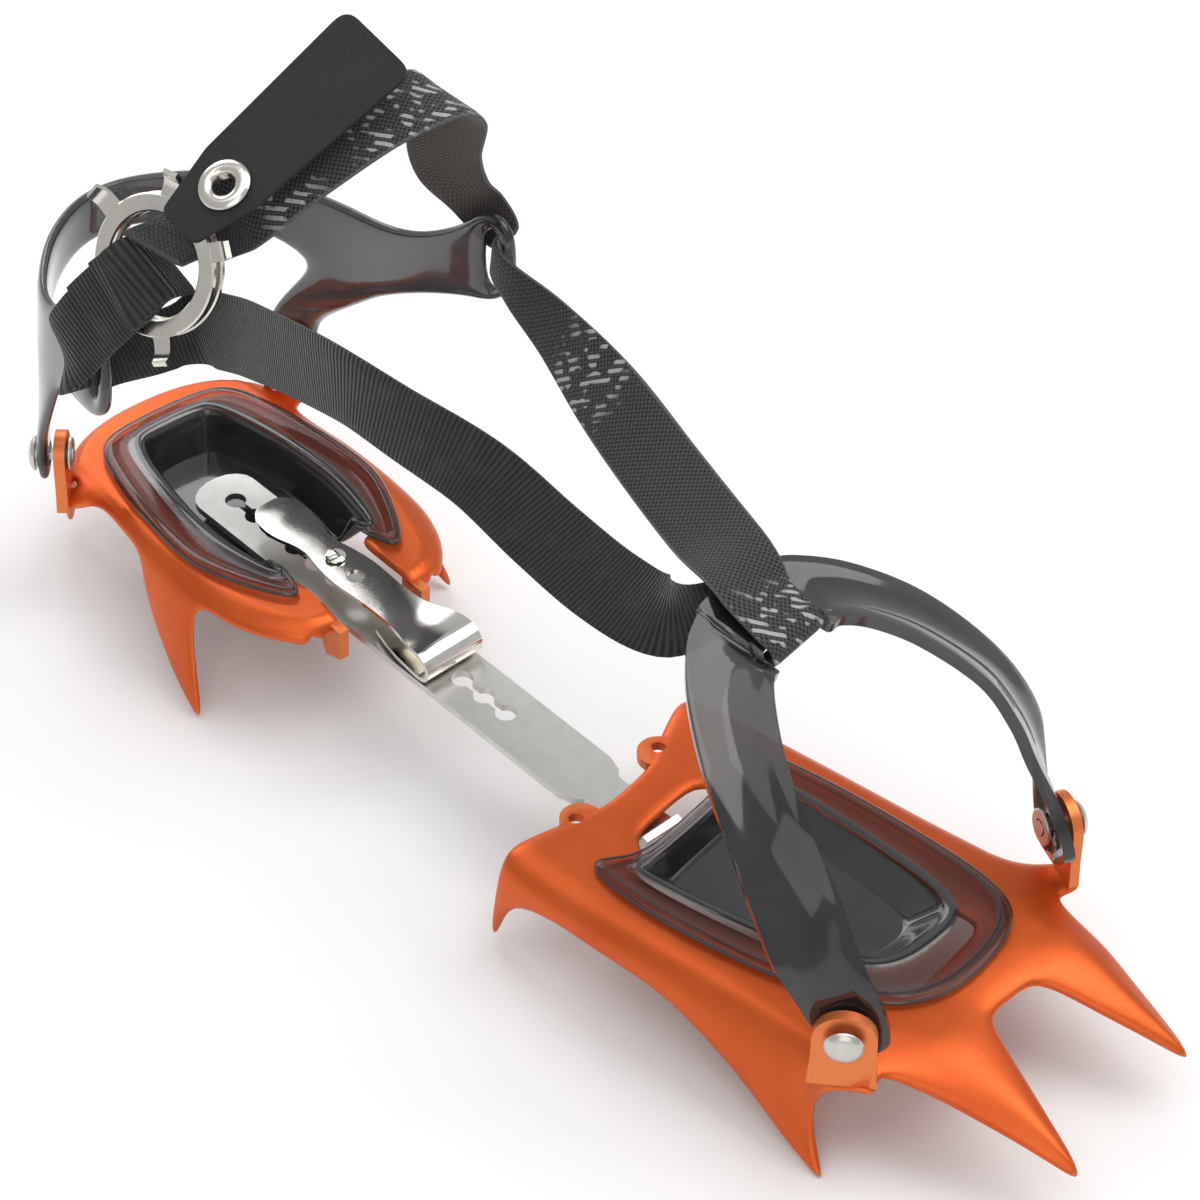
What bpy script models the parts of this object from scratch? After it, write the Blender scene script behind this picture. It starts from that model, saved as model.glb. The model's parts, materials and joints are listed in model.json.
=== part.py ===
"""Strap-on crampon for the right boot: two stamped aluminium sections on a steel bar, toe bail,
heel cradle, adjuster lever, webbing harness. +X is towards the toe, +Y the wearer's left, +Z up.
Lengths in this file are millimetres; they are scaled to metres where the meshes are made."""
import math

import bmesh
import bpy
from mathutils import Matrix, Vector

MM = 0.001

# placement of the two sections on the bar
FRONT_AT = (21.3, 2.0)
FRONT_YAW = 8.3
HEEL_AT = (-80.2, 0.1)
HEEL_YAW = -3.65
SHEET = 3.0                  # stamped aluminium thickness
FRONT_TOP = 29.5             # height of the front section's top face
HEEL_TOP = 35.0              # height of the heel section's top face
BAR_WIDTH = 18.4
BAR_THICK = 2.0
HOLE_PITCH = 8.2
HOLE_RADIUS = 2.9
STUD_X = -85.5               # the keyhole the lever's stud sits in
BAR_REAR_Z = 30.2            # top face of the bar at the stud
BAR_FRONT_Z = 25.6           # top face of the bar at the front section's rear edge
BAIL_PIVOT = (99.3, 46.5, 43.6)
CRADLE_PIVOT = (-76.0, 37.2, 46.5)
CRADLE_GAP = 6.3             # from a heel tab's middle to the outside of the cradle arm
BAIL_HOLE = 3.0              # the arms' holes are wide, so that they can lean on their slanted rivets
CRADLE_HOLE = 3.4
WEB_WIDTH = 19.5
WEB_THICK = 1.5

for old in list(bpy.data.objects):
    bpy.data.objects.remove(old, do_unlink=True)

parts = bpy.data.collections.new("crampon")
cutters = bpy.data.collections.new("cutters")
bpy.context.scene.collection.children.link(parts)
bpy.context.scene.collection.children.link(cutters)


def material(name, colour, rough, metal, alpha=1.0):
    mat = bpy.data.materials.new(name)
    mat.use_nodes = True
    node = mat.node_tree.nodes["Principled BSDF"]
    node.inputs["Base Color"].default_value = (*colour, 1.0)
    node.inputs["Roughness"].default_value = rough
    node.inputs["Metallic"].default_value = metal
    node.inputs["Alpha"].default_value = alpha
    return mat


ORANGE = (0.85, 0.17, 0.03)
SMOKE = (0.055, 0.055, 0.06)
STEEL = (0.60, 0.59, 0.57)
WEBBING = (0.030, 0.030, 0.032)


def frame_matrix(at, yaw):
    return Matrix.Translation((at[0], at[1], 0.0)) @ Matrix.Rotation(math.radians(yaw), 4, "Z")


FRONT = frame_matrix(FRONT_AT, FRONT_YAW)
HEEL = frame_matrix(HEEL_AT, HEEL_YAW)
WORLD = Matrix.Identity(4)


def add_object(name, mesh, mat, coll=None):
    ob = bpy.data.objects.new(name, mesh)
    (coll or parts).objects.link(ob)
    if mat is not None:
        mesh.materials.clear()
        mesh.materials.append(mat)
    return ob


def mesh_from(name, verts, faces, frame, mat, coll=None):
    """A mesh from millimetre points of one section's own frame."""
    mesh = bpy.data.meshes.new(name)
    pts = [(frame @ Vector(v)) * MM for v in verts]
    mesh.from_pydata(pts, [], faces)
    mesh.validate()
    bm = bmesh.new()
    bm.from_mesh(mesh)
    bmesh.ops.recalc_face_normals(bm, faces=bm.faces)
    bm.to_mesh(mesh)
    bm.free()
    return add_object(name, mesh, mat, coll)


def evaluated_copy(ob):
    """Replaces an object's modifiers, or a curve, by the plain welded mesh they make."""
    deps = bpy.context.evaluated_depsgraph_get()
    deps.update()
    mesh = bpy.data.meshes.new_from_object(ob.evaluated_get(deps))
    mesh.transform(ob.matrix_world)
    name = ob.name
    coll = ob.users_collection[0]
    mats = [m for m in ob.data.materials]
    bpy.data.objects.remove(ob, do_unlink=True)
    bm = bmesh.new()
    bm.from_mesh(mesh)
    bmesh.ops.remove_doubles(bm, verts=bm.verts, dist=0.000002)
    bmesh.ops.recalc_face_normals(bm, faces=bm.faces)
    bm.to_mesh(mesh)
    bm.free()
    mesh.name = name
    new = bpy.data.objects.new(name, mesh)
    coll.objects.link(new)
    mesh.materials.clear()
    for m in mats:
        mesh.materials.append(m)
    return new


def smooth(ob, angle=35.0):
    for poly in ob.data.polygons:
        poly.use_smooth = True
    ob.data.set_sharp_from_angle(angle=math.radians(angle))
    return ob


def flat_shape(name, outlines, low, high, place, mat, coll=None):
    """A flat stamped shape: closed outlines (the later ones are holes) filled and given a height."""
    curve = bpy.data.curves.new(name, "CURVE")
    curve.dimensions = "2D"
    curve.fill_mode = "BOTH"
    curve.resolution_u = 1
    curve.bevel_resolution = 0
    for line in outlines:
        spline = curve.splines.new("POLY")
        spline.points.add(len(line) - 1)
        for point, (x, y) in zip(spline.points, line):
            point.co = (x * MM, y * MM, 0.0, 1.0)
        spline.use_cyclic_u = True
    curve.extrude = (high - low) * 0.5 * MM
    ob = bpy.data.objects.new(name, curve)
    (coll or parts).objects.link(ob)
    if mat is not None:
        curve.materials.append(mat)
    lift = Matrix.Translation((0.0, 0.0, (low + high) * 0.5 * MM))
    world = place.copy()
    world.translation = place.translation * MM
    ob.matrix_world = world @ lift
    bpy.context.view_layer.update()
    return evaluated_copy(ob)


def cut(ob, tool, operation="DIFFERENCE"):
    """Joins or removes one solid and leaves a plain mesh."""
    mod = ob.modifiers.new("cut", "BOOLEAN")
    mod.operation = operation
    mod.solver = "EXACT"
    mod.object = tool
    new = evaluated_copy(ob)
    bpy.data.objects.remove(tool, do_unlink=True)
    return new


def cylinder(name, radius, low, high, place, sides=24):
    mesh = bpy.data.meshes.new(name)
    bm = bmesh.new()
    bmesh.ops.create_cone(bm, cap_ends=True, segments=sides, radius1=radius * MM, radius2=radius * MM,
                          depth=(high - low) * MM)
    world = place.copy()
    world.translation = place.translation * MM
    bmesh.ops.transform(bm, matrix=world @ Matrix.Translation((0, 0, (low + high) * 0.5 * MM)),
                        verts=bm.verts)
    bm.to_mesh(mesh)
    bm.free()
    return add_object(name, mesh, None, cutters)


def turned(name, profile, place, mat, sides=24):
    """A turned piece: a closed (radius, height) profile swept round its own axis."""
    mesh = bpy.data.meshes.new(name)
    pts = [(r * MM, 0.0, z * MM) for r, z in profile]
    count = len(pts)
    mesh.from_pydata(pts, [(i, i + 1) for i in range(count - 1)], [])
    ob = add_object(name, mesh, mat)
    mod = ob.modifiers.new("turn", "SCREW")
    mod.axis = "Z"
    mod.steps = sides
    mod.render_steps = sides
    mod.use_merge_vertices = True
    mod.merge_threshold = 0.000005
    mod.use_normal_calculate = True
    world = place.copy()
    world.translation = place.translation * MM
    ob.matrix_world = world
    bpy.context.view_layer.update()
    return smooth(evaluated_copy(ob), 40.0)


def facing(at, normal, up=(0, 0, 1), frame=WORLD):
    """Placement whose local Z runs along a normal, at a point of a section's frame."""
    z = (frame.to_3x3() @ Vector(normal)).normalized()
    u = frame.to_3x3() @ Vector(up)
    x = u.cross(z)
    if x.length < 1e-6:
        x = Vector((1, 0, 0))
    x.normalize()
    y = z.cross(x)
    mat = Matrix((x, y, z)).transposed().to_4x4()
    mat.translation = frame @ Vector(at)
    return mat


def circle(cx, cy, radius, sides=16, start=0.0, sweep=360.0):
    full = abs(sweep) >= 360.0
    n = sides if full else sides + 1
    return [(cx + radius * math.cos(math.radians(start + sweep * i / sides)),
             cy + radius * math.sin(math.radians(start + sweep * i / sides))) for i in range(n)]


def rounded(points, radii, steps=3):
    """A polygon with its corners rounded; one radius per corner."""
    out = []
    n = len(points)
    for i, (p, r) in enumerate(zip(points, radii)):
        p = Vector((p[0], p[1]))
        a = Vector((points[i - 1][0], points[i - 1][1]))
        b = Vector((points[(i + 1) % n][0], points[(i + 1) % n][1]))
        if r <= 0.0:
            out.append((p.x, p.y))
            continue
        ua = (a - p).normalized()
        ub = (b - p).normalized()
        half = math.acos(max(-1.0, min(1.0, ua.dot(ub)))) * 0.5
        reach = min(r / math.tan(half), (a - p).length * 0.48, (b - p).length * 0.48)
        start = p + ua * reach
        end = p + ub * reach
        for k in range(steps + 1):
            t = k / steps
            q = start * (1 - t) ** 2 + p * (2 * t * (1 - t)) + end * t ** 2
            out.append((q.x, q.y))
    return out


def catmull(points, per=4):
    """A smooth run of points through the given ones."""
    pts = [Vector(p) for p in points]
    n = len(pts)
    out = []
    for i in range(n - 1):
        p0 = pts[max(i - 1, 0)]
        p1 = pts[i]
        p2 = pts[i + 1]
        p3 = pts[min(i + 2, n - 1)]
        for k in range(per):
            t = k / per
            out.append(0.5 * ((2 * p1) + (p2 - p0) * t + (2 * p0 - 5 * p1 + 4 * p2 - p3) * t * t
                              + (3 * p1 - p0 - 3 * p2 + p3) * t ** 3))
    out.append(pts[-1].copy())
    return out


def loft(name, rings, frame, mat, closed_ends=True, loop=False):
    """A closed solid through matching rings of points."""
    verts = []
    for ring in rings:
        verts.extend([tuple(p) for p in ring])
    n = len(rings[0])
    faces = []
    last = len(rings) if loop else len(rings) - 1
    for i in range(last):
        j = (i + 1) % len(rings)
        for k in range(n):
            m = (k + 1) % n
            faces.append((i * n + k, i * n + m, j * n + m, j * n + k))
    if closed_ends and not loop:
        faces.append(tuple(range(n)))
        faces.append(tuple((len(rings) - 1) * n + k for k in range(n)))
    return mesh_from(name, verts, faces, frame, mat)


def band(name, centre, across, width, thick, frame, mat, per=4):
    """A strap-like solid: centre points, the direction across the band at each, width and thickness."""
    mids = catmull(centre, per)
    acr = catmull(across, per)
    wid = [w.x for w in catmull([(w, 0, 0) for w in width], per)]
    thk = [w.x for w in catmull([(w, 0, 0) for w in thick], per)]
    rings = []
    last = len(mids) - 1
    for i, mid in enumerate(mids):
        run = (mids[min(i + 1, last)] - mids[max(i - 1, 0)]).normalized()
        a = (acr[i] - run * acr[i].dot(run)).normalized()
        out = run.cross(a).normalized()
        h = wid[i] * 0.5
        t = thk[i] * 0.5
        rings.append([mid + a * u + out * v for u, v in ((-h, -t), (-h, t), (h, t), (h, -t))])
    return loft(name, rings, frame, mat)


def flatten(ob, top, within):
    """Press the vertices close to the top face exactly onto it."""
    for v in ob.data.vertices:
        if abs(v.co.z - top * MM) < within * MM:
            v.co.z = top * MM
    return ob


def grid_sheet(name, rows, holes, frame, mat, thick, level=1):
    """A pressed sheet: rows of points (None where the sheet is missing), given thickness downwards."""
    verts = []
    index = {}
    for i, row in enumerate(rows):
        for j, p in enumerate(row):
            if p is not None:
                index[(i, j)] = len(verts)
                verts.append(p)
    faces = []
    for i in range(len(rows) - 1):
        for j in range(len(rows[0]) - 1):
            if (i, j) in holes:
                continue
            keys = [(i, j), (i + 1, j), (i + 1, j + 1), (i, j + 1)]
            if all(k in index for k in keys):
                faces.append(tuple(index[k] for k in keys))
    mesh = bpy.data.meshes.new(name)
    mesh.from_pydata([(frame @ Vector(v)) * MM for v in verts], [], faces)
    bm = bmesh.new()
    bm.from_mesh(mesh)
    loose = [v for v in bm.verts if not v.link_faces]
    bmesh.ops.delete(bm, geom=loose, context="VERTS")
    bmesh.ops.recalc_face_normals(bm, faces=bm.faces)
    up = sum((f.normal.z * f.calc_area() for f in bm.faces))
    if up < 0:
        bmesh.ops.reverse_faces(bm, faces=bm.faces)
    bm.to_mesh(mesh)
    bm.free()
    ob = add_object(name, mesh, mat)
    sol = ob.modifiers.new("sheet", "SOLIDIFY")
    sol.thickness = thick * MM
    sol.offset = -1.0
    sol.use_even_offset = False
    sol.use_quality_normals = True
    if level:
        sub = ob.modifiers.new("round", "SUBSURF")
        sub.levels = level
        sub.render_levels = level
        sub.boundary_smooth = "ALL"
    return evaluated_copy(ob)


# ---------------------------------------------------------------- front section
orange_front = material("anodised_aluminium_front", ORANGE, 0.35, 0.9)
orange_heel = material("anodised_aluminium_heel", ORANGE, 0.35, 0.9)


def front_rows():
    """Stations of the front sheet from the rear edge to the tips of the two front points.
    Each half row runs from the middle line outwards; near is the wearer's right."""
    top = FRONT_TOP
    rows = []

    def row(near, far):
        left = [None if p is None else (p[0], -p[1], p[2]) for p in reversed(near[1:])]
        rows.append(left + [near[0]] + list(far[1:]))

    def both(half):
        row(half, half)

    # rear edge, cross member, slot
    both([(0.3, 0, top), (0.3, 9.5, top), (-3.0, 16, top), (-5.5, 23, top), (-8.6, 31, top),
          (-8.8, 36.0, top - 0.6),
          (-8.6, 39.2, top - 4.0), (-9.6, 39.8, 17.0), (-10.6, 40.2, 1.5)])
    both([(3.0, 0, top), (3.0, 9.5, top), (1.0, 16, top), (0.0, 23, top), (-2.5, 31, top),
          (-2.6, 36.4, top - 0.2),
          (-2.4, 40.2, top - 3.6), (-4.4, 41.0, 18.0), (-9.3, 40.3, 1.0)])
    both([(12.9, 0, top), (12.9, 12.9, top), (11.5, 18.5, top), (11.0, 25, top), (11.0, 31, top),
          (11.0, 36.6, top), (11.0, 40.4, top - 3.4), (11.0, 42.0, 21.0), None])
    both([(18.5, 0, top), (18.5, 13.5, top), (18.5, 22.0, top), (18.5, 26, top), (18.5, 31, top),
          (18.5, 36.8, top), (18.5, 40.6, top - 3.3), (18.5, 42.4, 20.5), None])
    both([(30, 0, top), (30, 13, top), (30, 22.6, top), (30, 27, top), (30, 32, top),
          (30, 36.9, top), (30, 40.7, top - 3.3), (30, 42.8, 20.0), None])
    both([(44, 0, top), (44, 12, top), (44, 22.0, top), (44, 27, top), (44, 32, top),
          (44, 36.8, top), (44, 40.8, top - 3.4), (44, 43.2, 19.5), None])
    both([(57, 0, top), (57, 11, top), (57, 20.6, top), (57, 26.5, top), (57, 31.6, top),
          (57, 36.6, top), (57, 41.0, top - 3.5), (58, 45.2, 16.0), None])
    both([(66, 0, top), (66, 10, top), (66, 19.6, top), (66, 26, top), (66, 31.2, top),
          (66, 36.6, top), (66.5, 41.4, top - 3.6), (72, 47.2, 10.5), (90.5, 50.6, 2.8)])
    both([(76, 0, top), (76, 9, top), (76, 17.6, top), (76, 25, top), (76, 31.0, top),
          (76, 36.8, top), (77, 41.8, top - 3.6), (83.5, 47.6, 11.0), (98.6, 52.6, 0.3)])
    both([(86, 0, top), (86, 8, top), (86, 15.0, top), (86, 24, top), (86, 31.5, top),
          (86, 37.2, top), (86.2, 41.0, top - 3.0), (89.0, 46.0, 13.0), (100.2, 52.6, 0.3)])
    # front cross member and the roots of the front points
    row([(95, 0, top), (95, 7, top), (95, 15, top), (95, 24, top), (95, 32, top), (95, 38.0, top - 0.5),
         (94.4, 43.5, top - 1.2), (95.6, 48.8, top + 0.6), None],
        [(95, 0, top), (95, 8, top), (95, 17, top), (95, 25, top), (95, 33, top), (95, 38.4, top - 0.5),
         (94.4, 43.5, top - 1.2), (95.6, 48.8, top + 0.6), None])
    row([(105.5, 1.5, top), (105.2, 5.5, top), (104.5, 14, top), (104, 23, top), (104, 31, top - 0.8),
         (103.6, 36.6, top - 1.2), (105.5, 40.4, top - 1.2), (107.6, 42.6, top + 0.6), None],
        [(105.5, 1.5, top), (105.8, 9.5, top), (106, 18, top), (105, 27, top), (104.5, 33, top - 0.8),
         (103.6, 37.0, top - 1.2), (105.5, 40.4, top - 1.2), (107.6, 42.6, top + 0.6), None])
    row([(114.2, 2.6, top - 1.4), (112.6, 5.2, top - 1.4), (112.6, 13.0, top), (112.2, 21.5, top + 0.3),
         (111.5, 28.5, top - 1.6), (110.0, 34.4, top - 3.2), None, None, None],
        [(114.2, 2.6, top - 1.4), (114.6, 10.2, top - 1.4), (115.0, 17.5, top), (114.0, 26.0, top + 0.3),
         (112.5, 31.5, top - 1.6), (111.0, 35.4, top - 3.2), None, None, None])
    row([None, (120.0, 8.8, top - 3.2), (119.8, 14.5, top - 2.0), (119.6, 21.2, top - 1.2),
         (118.8, 27.2, top - 3.2), (117.5, 32.0, top - 5.2), None, None, None],
        [None, (121.4, 12.8, top - 3.2), (121.6, 18.5, top - 2.0), (121.0, 25.0, top - 1.2),
         (120.4, 30.2, top - 3.2), (119.6, 34.6, top - 5.2), None, None, None])
    row([None, (129.5, 13.4, top - 5.8), (129.3, 17.4, top - 4.6), (129.0, 22.0, top - 3.8),
         (128.5, 26.2, top - 6.0), (127.6, 29.8, top - 8.0), None, None, None],
        [None, (130.4, 14.9, top - 5.8), (130.6, 18.8, top - 4.6), (130.4, 23.6, top - 3.8),
         (130.0, 27.6, top - 6.0), (129.4, 31.6, top - 8.0), None, None, None])
    row([None, (140.0, 17.8, top - 9.6), (140.0, 20.2, top - 8.6), (140.0, 22.6, top - 8.2),
         (139.8, 25.0, top - 9.8), (139.4, 27.2, top - 11.2), None, None, None],
        [None, (140.6, 18.3, top - 9.6), (140.8, 20.8, top - 8.6), (140.8, 23.4, top - 8.2),
         (140.6, 25.8, top - 9.8), (140.4, 28.2, top - 11.2), None, None, None])
    row([None, (150.8, 22.2, top - 14.6), (151.2, 22.9, top - 14.2), (151.4, 23.6, top - 14.0),
         (151.2, 24.2, top - 14.6), (150.8, 25.0, top - 15.2), None, None, None],
        [None, (150.8, 22.4, top - 14.6), (151.2, 23.1, top - 14.2), (151.4, 23.8, top - 14.0),
         (151.2, 24.4, top - 14.6), (150.8, 25.2, top - 15.2), None, None, None])
    return rows


rows = front_rows()
mid = 8
window = set()
for i in range(2, 10):
    for j in (mid - 2, mid - 1, mid, mid + 1):
        window.add((i, j))
window -= {(2, mid - 2), (2, mid + 1)}
front_frame = grid_sheet("front_frame", rows, window, FRONT, orange_front, SHEET, level=1)

# bail tabs, the ears at the rear edge, rivet holes
TAB_OUT = (0.52, 0.854, 0.0)
for side in (-1, 1):
    out = (TAB_OUT[0], side * TAB_OUT[1], 0.0)
    at = (BAIL_PIVOT[0], side * BAIL_PIVOT[1], BAIL_PIVOT[2])
    place = facing(at, out, frame=FRONT)
    shape = circle(0, 0, 7.6, 14, 0, 180) + [(-7.6, -7.0), (-8.2, -14.8), (8.2, -14.8), (7.6, -7.0)]
    tab = flat_shape("tab", [shape], -SHEET + 0.4, 0.0, place, orange_front, coll=cutters)
    front_frame = cut(front_frame, tab, "UNION")
    hole = cylinder("hole", 2.3, -6.0, 4.0, place, 16)
    front_frame = cut(front_frame, hole)
    ear_at = Matrix.Translation((-1.2, side * 15.5, 0.0))
    ear = cylinder("ear", 5.4, FRONT_TOP - SHEET + 0.2, FRONT_TOP - 0.15, FRONT @ ear_at, 20)
    front_frame = cut(front_frame, ear, "UNION")
    slot = cylinder("ear_hole", 1.9, FRONT_TOP - 6, FRONT_TOP + 2,
                    FRONT @ Matrix.Translation((-2.0, side * 16.5, 0)), 14)
    front_frame = cut(front_frame, slot)
smooth(flatten(front_frame, FRONT_TOP, 0.14), 40.0)

# ---------------------------------------------------------------- front anti-balling plate
front_smoke = material("smoky_plastic_front", SMOKE, 0.12, 0.0)
PLATE_Z = FRONT_TOP + 0.35


def front_plate():
    outer = [(20.3, 0), (20.3, -13.5), (17.5, -21.5), (9.8, -27.3), (20.0, -30.4), (40.0, -31.6),
             (62.0, -30.2),
             (82.0, -26.6), (97.0, -18.6), (103.0, -8.0), (104.0, 3.0), (103.6, 14.0), (99.6, 24.0),
             (90.0, 28.6), (72.0, 30.4), (44.0, 31.8), (20.0, 30.4), (9.8, 27.3), (17.5, 21.5), (20.3, 13.5)]
    lip = [(22.6, 0), (22.6, -13.5), (22.0, -21.0), (22.0, -22.2), (26.0, -22.4), (42.0, -21.6),
           (60.0, -19.4),
           (74.0, -16.6), (84.0, -12.6), (87.6, -6.0), (88.6, 1.0), (89.4, 9.0), (87.0, 15.0),
           (76.0, 18.0), (62.0, 20.0), (44.0, 21.8), (26.0, 22.4), (22.0, 22.2), (22.0, 21.0), (22.6, 13.5)]
    floor = [(24.8, 0), (24.8, -11.5), (25.0, -15.0), (26.0, -16.0), (31.0, -16.4), (44.0, -15.6),
             (58.0, -13.6),
             (70.0, -11.0), (77.0, -7.6), (79.6, -3.6), (80.4, 1.0), (80.6, 6.0), (78.0, 10.0),
             (70.0, 12.6), (58.0, 14.4), (44.0, 15.8), (31.0, 16.4), (26.0, 16.0), (25.0, 15.0), (24.8, 11.5)]
    rings = [[(x, y, PLATE_Z) for x, y in outer],
             [(x * 0.5 + u * 0.5, y * 0.5 + w * 0.5, PLATE_Z + 0.9) for (x, y), (u, w) in zip(outer, lip)],
             [(x, y, PLATE_Z + 0.6) for x, y in lip],
             [(x, y, PLATE_Z - 6.4) for x, y in floor]]
    return rings


rings = front_plate()
verts = [p for ring in rings for p in ring]
n = len(rings[0])
faces = []
for i in range(len(rings) - 1):
    for k in range(n):
        m = (k + 1) % n
        faces.append((i * n + k, i * n + m, (i + 1) * n + m, (i + 1) * n + k))
base = (len(rings) - 1) * n
for k in range(n // 2):
    quad = [base + k, base + k + 1, base + (n - k - 1) % n, base + (n - k) % n]
    faces.append(tuple(dict.fromkeys(quad)))
mesh = bpy.data.meshes.new("front_antiball_plate")
mesh.from_pydata([(FRONT @ Vector(v)) * MM for v in verts], [], faces)
bm = bmesh.new()
bm.from_mesh(mesh)
bmesh.ops.recalc_face_normals(bm, faces=bm.faces)
if sum(f.normal.z * f.calc_area() for f in bm.faces) < 0:
    bmesh.ops.reverse_faces(bm, faces=bm.faces)
bm.to_mesh(mesh)
bm.free()
front_plate_ob = add_object("front_antiball_plate", mesh, front_smoke)
sol = front_plate_ob.modifiers.new("wall", "SOLIDIFY")
sol.thickness = 1.5 * MM
sol.offset = 1.0
sub = front_plate_ob.modifiers.new("round", "SUBSURF")
sub.levels = 1
sub.render_levels = 1
front_plate_ob = smooth(evaluated_copy(front_plate_ob), 50.0)

# ---------------------------------------------------------------- linking bar
steel = material("tumbled_stainless_steel", STEEL, 0.38, 1.0)


def bar_height(x):
    """Top face of the bar along its length."""
    t = (x - STUD_X) / (FRONT_AT[0] - STUD_X)
    return BAR_REAR_Z + (BAR_FRONT_Z - BAR_REAR_Z) * t


def bar_outline():
    half = BAR_WIDTH * 0.5
    rear = STUD_X - 5 * HOLE_PITCH - 10.6
    pts = [(rear + half * 0.72 + half * 0.72 * math.cos(math.radians(a)), half * math.sin(math.radians(a)))
           for a in range(90, 271, 20)]
    pts += [(9.0, -half), (13.5, -half + 1.4), (15.5, -half + 3.2), (31.0, -half + 3.2)]
    pts += [(31.0, half - 3.2), (15.5, half - 3.2), (13.5, half - 1.4), (9.0, half)]
    return pts


def keyholes(first, count):
    """Round holes joined by narrow necks, as one outline."""
    r = HOLE_RADIUS
    neck = 1.1
    a0 = math.degrees(math.asin(neck / r))
    upper = []
    lower = []
    for k in range(count):
        cx = first + k * HOLE_PITCH
        start = 180.0 if k == 0 else 180.0 - a0
        end = 0.0 if k == count - 1 else a0
        steps = 6
        for i in range(steps + 1):
            a = math.radians(start + (end - start) * i / steps)
            upper.append((cx + r * math.cos(a), r * math.sin(a)))
            if 0.001 < abs(math.sin(a)):
                lower.append((cx + r * math.cos(a), -r * math.sin(a)))
    return upper + lower[::-1]


bar_lines = [bar_outline(), keyholes(STUD_X - 5 * HOLE_PITCH, 6), keyholes(-36.2, 3)]
linking_bar = flat_shape("linking_bar", bar_lines, -BAR_THICK, 0.0, WORLD, steel)
for v in linking_bar.data.vertices:
    x = v.co.x / MM
    v.co.z += bar_height(x) * MM
hook_path = [(30.6, 0, bar_height(30.6) - 1.0), (34.2, 0, bar_height(30.6) - 0.9),
             (36.4, 0, bar_height(30.6) + 0.6),
             (37.2, 0, bar_height(30.6) + 2.4)]
hook = band("hook", hook_path, [(0, 1, 0)] * 4, [12.0] * 4, [BAR_THICK] * 4, WORLD, steel, per=3)
linking_bar = smooth(cut(linking_bar, hook, "UNION"), 30.0)

# ---------------------------------------------------------------- heel section


def heel_rows():
    """Stations of the heel sheet from the rear edge to the front edge, middle line outwards."""
    top = HEEL_TOP
    rows = []

    def both(half):
        left = [None if p is None else (p[0], -p[1], p[2]) for p in reversed(half[1:])]
        rows.append(left + [half[0]] + list(half[1:]))

    both([(-96.6, 0, top - 4.6), (-96.2, 9, top - 4.6), (-94.6, 17.5, top - 4.8), (-91.6, 25.5, top - 5.4),
          (-96.6, 25.4, 9.0), (-98.6, 25.2, 0.4), None, None])
    both([(-96.0, 0, top - 1.6), (-95.6, 9, top - 1.6), (-93.8, 17.0, top - 1.6), (-90.6, 25.0, top - 2.0),
          (-88.6, 29.4, top - 4.2), (-93.6, 27.4, 9.0), (-97.8, 25.6, 0.3), None])
    both([(-93.4, 0, top), (-93.0, 8.6, top), (-91.4, 15.6, top), (-88.0, 22.6, top),
          (-85.0, 28.0, top - 0.4),
          (-82.6, 32.6, top - 2.6), None, None])
    both([(-89.6, 0, top), (-89.3, 8.0, top), (-87.9, 14.6, top), (-84.8, 21.6, top),
          (-82.0, 27.9, top - 0.2),
          (-79.9, 32.8, top - 2.2), None, None])
    both([(-84.6, 0, top), (-84.4, 7.2, top), (-83.4, 13.0, top), (-80.4, 20.4, top), (-78.4, 27.6, top),
          (-76.8, 33.0, top - 1.8), (-79.6, 37.0, top - 2.4), None])
    both([(-74, 0, top), (-74, 8.4, top), (-74, 15.8, top), (-72.0, 22.6, top), (-70.6, 28.6, top),
          (-69.2, 33.0, top - 1.8), (-70.4, 41.6, top - 2.4), None])
    both([(-62, 0, top), (-62, 8.6, top), (-62, 17.8, top), (-62, 24.6, top), (-62, 29.4, top),
          (-62, 33.2, top - 2.6), None, None])
    both([(-53, 0, top), (-53, 9, top), (-53, 19.4, top), (-53, 25.8, top), (-53, 30.4, top),
          (-53, 34.4, top - 3.0), None, None])
    both([(-44, 0, top), (-44, 9.4, top), (-44, 20.4, top), (-44, 26.8, top), (-44, 31.4, top),
          (-45.0, 35.8, top - 3.2), (-41.5, 38.2, 22.5), (-24.0, 41.6, 7.0)])
    both([(-33, 0, top), (-33, 10, top), (-33, 21.2, top), (-33, 27.4, top), (-33, 32.0, top),
          (-33.0, 36.0, top - 3.0), (-30.0, 39.4, 18.5), (-11.4, 43.6, 0.3)])
    both([(-22, 0, top), (-22, 10.4, top), (-22, 19.8, top), (-22, 26.4, top), (-22, 31.4, top),
          (-21.0, 35.8, top - 3.0), (-17.5, 39.6, 18.0), (-9.4, 43.6, 0.3)])
    both([(-11, 0, top), (-11, 10.8, top), (-11, 16.6, top), (-10.4, 23.0, top), (-9.4, 29.0, top),
          (-8.6, 34.6, top - 3.2), None, None])
    both([(-3.4, 0, top), (-3.4, 11.0, top), (-3.2, 15.4, top), (-1.2, 20.4, top), (0.6, 25.4, top),
          (2.2, 30.4, top - 3.4), None, None])
    both([(4.2, 0, top), (4.2, 11.2, top), (4.4, 15.0, top), (5.8, 18.4, top), (7.4, 21.8, top - 0.6),
          (9.0, 25.0, top - 3.8), None, None])
    both([(9.6, 0, top), (9.6, 11.4, top), (9.4, 14.6, top), (9.8, 17.4, top - 0.6), (10.6, 19.8, top - 2.2),
          (11.4, 21.6, top - 5.2), None, None])
    both([(12.4, 0, top - 3.0), (12.6, 11.6, top - 3.0), (12.2, 14.4, top - 2.6), (12.0, 16.2, top - 3.4),
          (12.2, 17.8, top - 5.0), None, None, None])
    return rows


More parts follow.
